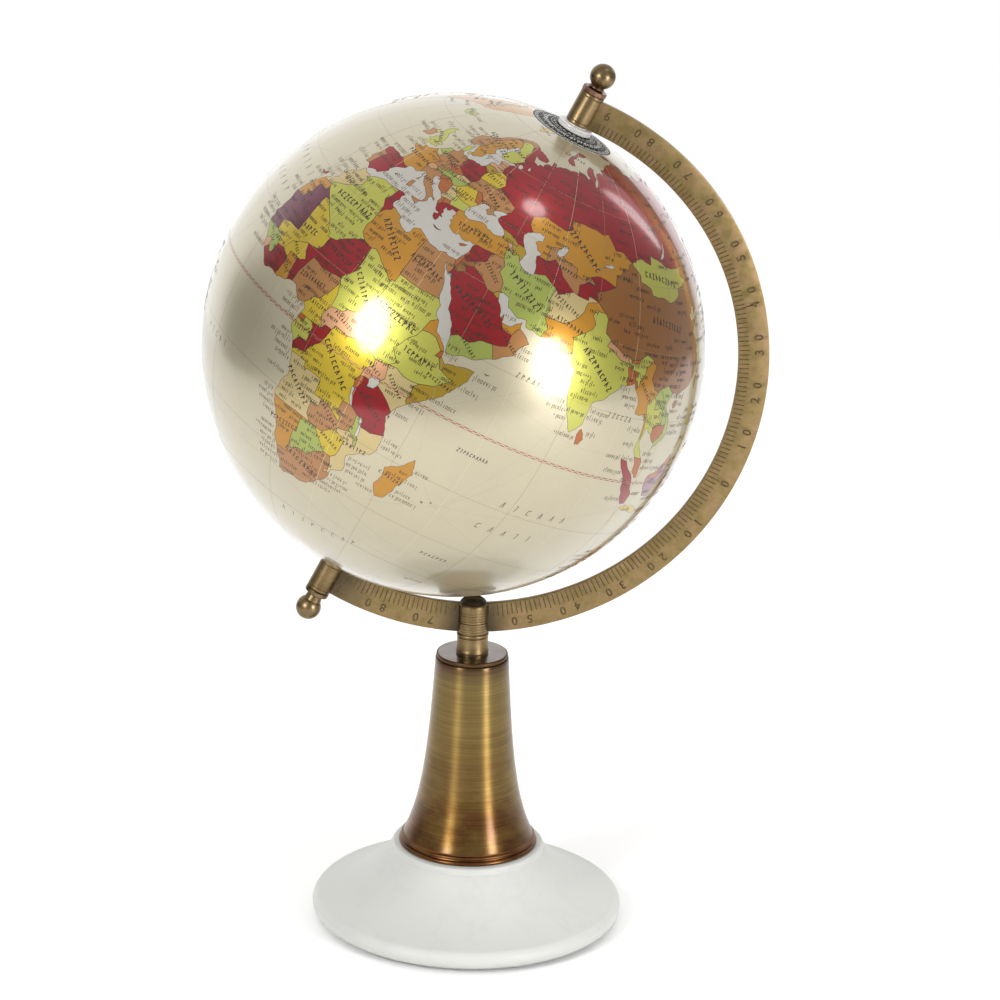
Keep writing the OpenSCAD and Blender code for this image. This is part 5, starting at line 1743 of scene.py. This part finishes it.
def engraving(half):
    """One mesh of all that is cut from the plate: ticks from the inner edge, and numbers. A degree
    mark takes slightly more than a degree, and numbers below the middle lag behind their tick."""
    depth = 0.2 * MM
    degree = 1.033
    lag = 1.3
    width = 0.42 * MM
    spread = math.degrees(width / 2 / ARC_INNER)
    start = ARC_INNER + 0.5 * MM
    verts = []
    faces = []
    for k in range(-89, 90):
        length = (4.0 if k > 0 else 5.0 if k % 5 else 5.8) * MM
        outline = ((start, -1), (start + length, -1), (start + length, 1), (start, 1))
        for face in (-1, 1):
            y0, y1 = sorted((face * (half - depth), face * (half + 0.5 * MM)))
            faces += box_faces(len(verts))
            verts += [plate_point(r, k * degree + s * spread, y) for y in (y0, y1) for r, s in outline]
    cutter = mesh_object("tick_cutter", verts, faces)
    tidy_mesh(cutter.data)
    parts = [cutter]
    for k in range(-90, 91, 10):
        turn = k * degree - (lag if k < 0 else 0)
        for face in (-1, 1):
            parts.append(number(abs(k), turn, face, half, depth))
    work = bmesh.new()
    for part in parts:
        part.data.transform(part.matrix_world)
        work.from_mesh(part.data)
    mesh = bpy.data.meshes.new("engraving")
    work.to_mesh(mesh)
    work.free()
    for part in parts:
        bpy.data.objects.remove(part)
    return new_object("engraving", mesh)


def number(value, turn, face, half, depth):
    """A solid degree number that straddles one face of the plate, for cutting."""
    curve = bpy.data.curves.new("number", "FONT")
    curve.body = " ".join(str(value))
    curve.size = 5.0 * MM
    curve.align_x = "CENTER"
    curve.align_y = "CENTER"
    curve.extrude = depth + 0.2 * MM
    curve.space_word = 2.8
    curve.offset = 0.1 * MM
    curve.resolution_u = 3
    text = new_object("number", curve)
    mesh = bpy.data.meshes.new_from_object(text.evaluated_get(bpy.context.evaluated_depsgraph_get()))
    bpy.data.objects.remove(text)
    tidy_mesh(mesh)
    # Tops point outwards on the lower half and inwards on the upper half
    a = math.radians(turn)
    out = Vector((math.cos(a), 0, math.sin(a)))
    up = out if turn <= 0 else -out
    facing = Vector((0, face, 0))
    across = up.cross(facing)
    place = Matrix((across, up, facing)).transposed().to_4x4()
    middle = Vector(plate_point(ARC_OUTER - 4 * MM, turn, face * (half + 0.2 * MM)))
    return new_object("number", mesh, Matrix.Translation(middle) @ place)


def make_sleeve(name, node_name, place, shader):
    """Plain sleeve with a fine groove near each end."""
    r = SLEEVE_R
    bore_r = 2 * MM
    a, b = SLEEVE_START, SLEEVE_END
    profile = rounded([
        (bore_r, a, 0), (r, a, 0.35 * MM), (r, a + 1.3 * MM, 0), (r - 0.18 * MM, a + 1.5 * MM, 0),
        (r, a + 1.7 * MM, 0), (r, b - 1.5 * MM, 0), (r - 0.15 * MM, b - 1.3 * MM, 0), (r, b - 1.1 * MM, 0),
        (r, b, 0.3 * MM), (bore_r, b, 0)])
    sleeve = turned(name, profile, place, 96)
    return finish_piece(sleeve, shader, "stand", [node_name])


def make_finial(name, node_name, place, shader, collar_shader, seat, collar, thick, neck, reach):
    """A pivot pin with a turned collar, a waisted neck and a ball head. Seat is the height of the
    collar's foot above the sleeve, collar and neck are radii, and reach is the ball head's height."""
    head = SLEEVE_END + seat
    centre = SLEEVE_END + reach
    ball = 5.15 * MM
    tip = BALL_R - 10 * MM
    pin_r = 1.6 * MM
    shank_r = 2 * MM
    collar_end = head + thick
    neck_angle = math.degrees(math.asin(neck / ball)) + 6
    profile = [(0, tip), (pin_r - 0.4 * MM, tip), (pin_r, tip + 0.4 * MM), (pin_r, SLEEVE_START),
               (shank_r, SLEEVE_START), (shank_r, head)]
    profile += rounded([
        (collar - 0.7 * MM, head, 0), (collar - 0.35 * MM, head + 0.35 * MM, 0.1 * MM),
        (collar, head + 0.5 * MM, 0.1 * MM), (collar, collar_end, 0.25 * MM),
        (neck + 0.5 * MM, collar_end + 0.1 * MM, 0.3 * MM), (neck, collar_end + 0.8 * MM, 0)], 5)
    profile += arc(0, centre, ball, ball, -90 + neck_angle, 89, 28)
    profile.append((0, centre + ball))
    finial = turned(name, profile, place, 96)
    two_tone(finial, shader, collar_shader, lambda c: head <= c.z <= collar_end + 0.2 * MM)
    return finish_piece(finial, shader, "stand", [node_name])


def make_lock_ring(shader):
    """Thin nut with twelve flats and chamfered edges. Its bore is round."""
    r = 5.2 * MM
    bore_r = 2 * MM
    flats = 12
    per_flat = 8
    verts = []
    faces = []
    half_rows = [(bore_r, 0.0), (r - 0.45 * MM, 0.0), (r - 0.2 * MM, 0.1 * MM), (r, 0.4 * MM)]
    rows = half_rows + [(radius, NUT_T - height) for radius, height in reversed(half_rows)]
    count = flats * per_flat
    half = math.pi / flats
    for radius, height in rows:
        for k in range(count):
            turn = 2 * math.pi * k / count
            across = radius * math.cos(half) / math.cos((turn % (2 * half)) - half)
            rim = across if radius > bore_r else radius
            verts.append((rim * math.cos(turn), rim * math.sin(turn), SLEEVE_END + height))
    for i in range(len(rows)):
        one, two = i * count, (i + 1) % len(rows) * count
        faces += [(one + k, one + (k + 1) % count, two + (k + 1) % count, two + k) for k in range(count)]
    ring = mesh_object("faceted_lock_nut", verts, faces, TILTED)
    tidy_mesh(ring.data)
    smooth(ring.data, 20)
    return finish_piece(ring, shader, "stand", ["upper_lock_ring"])


def make_pole_washer(name, node_name, place, shader):
    """Washer with a grooved rim and a low boss that faces the sleeve."""
    r = 7.2 * MM
    boss_r = 4.7 * MM
    bore_r = 1.9 * MM
    z = BALL_R
    top = z + POLE_GAP - 0.15 * MM
    rim_top = z + POLE_GAP - 0.5 * MM
    profile = rounded([
        (bore_r, z, 0), (r - 0.3 * MM, z, 0), (r, z + 0.3 * MM, 0.15 * MM), (r, z + 1.0 * MM, 0.1 * MM),
        (r - 0.2 * MM, z + 1.2 * MM, 0.1 * MM), (r, z + 1.4 * MM, 0.1 * MM), (r, rim_top, 0.4 * MM),
        (boss_r, rim_top, 0.1 * MM), (boss_r, top, 0.1 * MM), (bore_r, top, 0)])
    washer = turned(name, profile, place, 96)
    return finish_piece(washer, shader, "globe", [node_name])


def dress(name, shader):
    """Puts a material on a CAD node that is shown as it is."""
    obj = frame["nodes"][name]
    obj.data.materials.clear()
    obj.data.materials.append(shader)


# ---------------------------------------------------------------- camera, light and floor


def make_camera():
    """The camera looks slightly down at the stand from the front, with a little roll."""
    azimuth, elevation, roll = (math.radians(v) for v in (-1.765, 19.153, 1.457))
    target = Vector((9.865, 0, 183.648)) * MM
    distance = 1.9783
    back = Vector((math.sin(azimuth) * math.cos(elevation), -math.cos(azimuth) * math.cos(elevation),
                   math.sin(elevation)))
    right = (-back).cross(Vector((0, 0, 1))).normalized()
    up = right.cross(-back)
    rolled_right = right * math.cos(roll) + up * math.sin(roll)
    rolled_up = up * math.cos(roll) - right * math.sin(roll)
    data = bpy.data.cameras.new("camera")
    data.lens = 174.47
    data.sensor_width = 36
    data.clip_end = 50
    turn = Matrix((rolled_right, rolled_up, back)).transposed().to_4x4()
    place = Matrix.Translation(target + back * distance) @ turn
    bpy.context.scene.camera = new_object("camera", data, place)


def towards(azimuth, elevation):
    """A direction, with azimuth 0 towards the camera's side and 90 to its right, in degrees."""
    a, e = math.radians(azimuth), math.radians(elevation)
    return Vector((math.sin(a) * math.cos(e), -math.cos(a) * math.cos(e), math.sin(e)))


def make_light(name, azimuth, elevation, distance, width, height, power, glossy=True):
    """A soft elliptical panel that faces the ball."""
    data = bpy.data.lights.new(name, "AREA")
    data.shape = "ELLIPSE"
    data.size = width
    data.size_y = height
    data.energy = power
    way = towards(azimuth, elevation)
    turn = (-way).to_track_quat("-Z", "Y").to_matrix().to_4x4()
    light = new_object(name, data, Matrix.Translation(BALL_CENTRE + way * distance) @ turn)
    light.visible_glossy = glossy


def glow(tree, coords, way, stops):
    """How far a world direction points along way, turned into grey through a ramp."""
    made = node(tree, "VectorMath", [(0, coords.outputs["Generated"])], operation="DOT_PRODUCT")
    made.inputs[1].default_value = way
    return ramp(tree, made.outputs["Value"], stops)


def make_world():
    """A light tent: white behind the object, softer above and in front, with one dim gap."""
    world = bpy.data.worlds.new("studio")
    world.use_nodes = True
    tree = world.node_tree
    coords = node(tree, "TexCoord")
    tent = glow(tree, coords, (0, 0, 1), [(0.0, grey(0.38)), (0.2, grey(0.36)), (0.5, grey(0.48)),
                                          (0.75, grey(0.78)), (1.0, grey(0.8))])
    backdrop = glow(tree, coords, towards(-168, 12), [(0.56, grey(0)), (0.74, grey(1))])
    tent = mix(tree, backdrop, tent, grey(1.25))
    gap = glow(tree, coords, towards(-112, -5), [(0.9, grey(1)), (0.985, grey(0.1))])
    tent = mix(tree, 1.0, tent, gap, "MULTIPLY")
    rays = node(tree, "LightPath")
    seen = mix(tree, rays.outputs["Is Camera Ray"], tent, grey(1.0))
    tree.links.new(seen, tree.nodes["Background"].inputs["Color"])
    bpy.context.scene.world = world


def make_studio():
    """A round white floor in a light tent."""
    disc = turned("studio_floor", [(0, 0), (0.5, 0), (1.1, 0), (1.1, -0.01), (0, -0.01)], segments=96)
    paper, tree, shader = material("studio_paper", Roughness=0.9)
    tone = noise(tree, 2, 2, 0.5)
    set_colour(tree, shader, fade(tree, tone, 0.3, 0.95, 0.7, 0.97))
    disc.data.materials.append(paper)
    make_world()
    make_light("key_left", -39.8, 21.6, 1.3, 0.34, 0.54, 9)
    make_light("key_right", 44, 5, 1.3, 0.34, 0.54, 9)
    make_light("key_top", 87, 62, 1.5, 0.22, 0.22, 1.2)
    make_light("strip_right", 129.5, 22, 1.5, 0.15, 0.6, 0.9)
    make_light("overhead_fill", 0, 89, 2.4, 3.0, 3.0, 20, glossy=False)
    bpy.context.scene.view_settings.view_transform = "Standard"


# ---------------------------------------------------------------- assembly


def make_globe():
    """The printed map and all that is inked on it."""
    chart = Chart(draw_plan())
    dark = ink("ink_dark_brown", srgb(60, 48, 37), srgb(44, 35, 28))
    soft = ink("ink_soft_brown", srgb(92, 78, 60), srgb(70, 58, 45))
    fine = ink("ink_fine_brown", srgb(150, 132, 104), srgb(126, 110, 88))
    faint = ink("ink_faint_brown", srgb(176, 162, 136), srgb(158, 144, 120))
    red = ink("ink_equator_red", srgb(158, 92, 78), srgb(128, 78, 62))
    black = ink("ink_black", srgb(30, 28, 28), srgb(18, 17, 17), 0.0, 0.12, 0.6)
    white = ink("ink_white", srgb(226, 224, 218), srgb(206, 204, 198), 0.0, 0.12, 0.6)
    pale = ink("ink_pale_joint", srgb(206, 190, 160), srgb(192, 176, 146))
    make_gores(chart, foil_map())
    ink_outlines(chart, dark)
    ink_graticule(fine)
    ink_equator(red)
    ink_routes(faint)
    ink_seams(pale)
    ink_pole_ring(black, white)
    ink_lettering(chart, dark, soft)


def make_stand():
    """Base, column, stem, meridian and pivots, and the materials of the CAD nodes left as they are."""
    make_base(marble())
    antique = brass("antique_brass", srgb(150, 128, 92), srgb(108, 90, 62), 0.4, 0.6, 0.4)
    bead = brass("bead_brass", srgb(122, 84, 50), srgb(80, 48, 29), 0.28, 0.6)
    plate = plate_brass()
    aged = brass("aged_brass", srgb(142, 122, 90), srgb(98, 82, 58), 0.34, 0.7)
    rosy = brass("rosy_brass", srgb(146, 112, 94), srgb(98, 72, 58), 0.34, 0.5)
    umber = brass("umber_rim_brass", srgb(104, 78, 52), srgb(70, 50, 34), 0.42, 0.6)
    mirror = brass("mirror_cap_brass", srgb(132, 124, 120), srgb(106, 96, 92), 0.16, 0.25, lathe=1200)
    # Dark brass for the stem's dome: painted shade under the ball, not a different metal.
    dome_painted_shade = brass("painted_shade_dome", srgb(86, 74, 60), srgb(54, 44, 36), 0.34, 0.6)
    make_foot_ring(bead)
    make_column(column_brass())
    make_cap(mirror, umber)
    make_stem(antique, dome_painted_shade)
    make_arc(plate, patina_black())
    make_sleeve("upper_pole_sleeve", "upper_sleeve", TILTED, antique)
    make_sleeve("lower_pole_sleeve", "lower_sleeve", LOWER, antique)
    make_finial("upper_ball_finial", "upper_finial", TILTED, aged, rosy,
                seat=NUT_T, collar=3.4 * MM, thick=0.8 * MM, neck=2.6 * MM, reach=7.9 * MM)
    make_finial("lower_ball_finial", "lower_finial", LOWER, aged, aged,
                seat=0, collar=SLEEVE_R, thick=2.2 * MM, neck=3.2 * MM, reach=9 * MM)
    make_lock_ring(rosy)
    nylon = plastic("white_nylon", srgb(236, 235, 231), srgb(226, 224, 219), 0.35)
    pearl = plastic("pearl_grey_nylon", srgb(206, 203, 199), srgb(178, 174, 170), 0.25)
    make_pole_washer("upper_nylon_washer", "upper_pole_washer", TILTED, pearl)
    make_pole_washer("lower_nylon_washer", "lower_pole_washer", LOWER, pearl)
    for name in ("upper_bush", "lower_bush"):
        dress(name, nylon)
    shell = plastic("shell_plastic", srgb(196, 182, 150), srgb(178, 164, 134), 0.45)
    for name in ("north_shell", "south_shell", "equator_ring"):
        dress(name, shell)
    zinc = steel("zinc_steel", srgb(186, 188, 190), srgb(142, 144, 148), 0.34)
    for name in ("tie_rod", "tie_nut", "tie_washer", "arc_set_screw"):
        dress(name, zinc)
    dress("base_felt", felt())


make_camera()
make_studio()
make_stand()
make_globe()
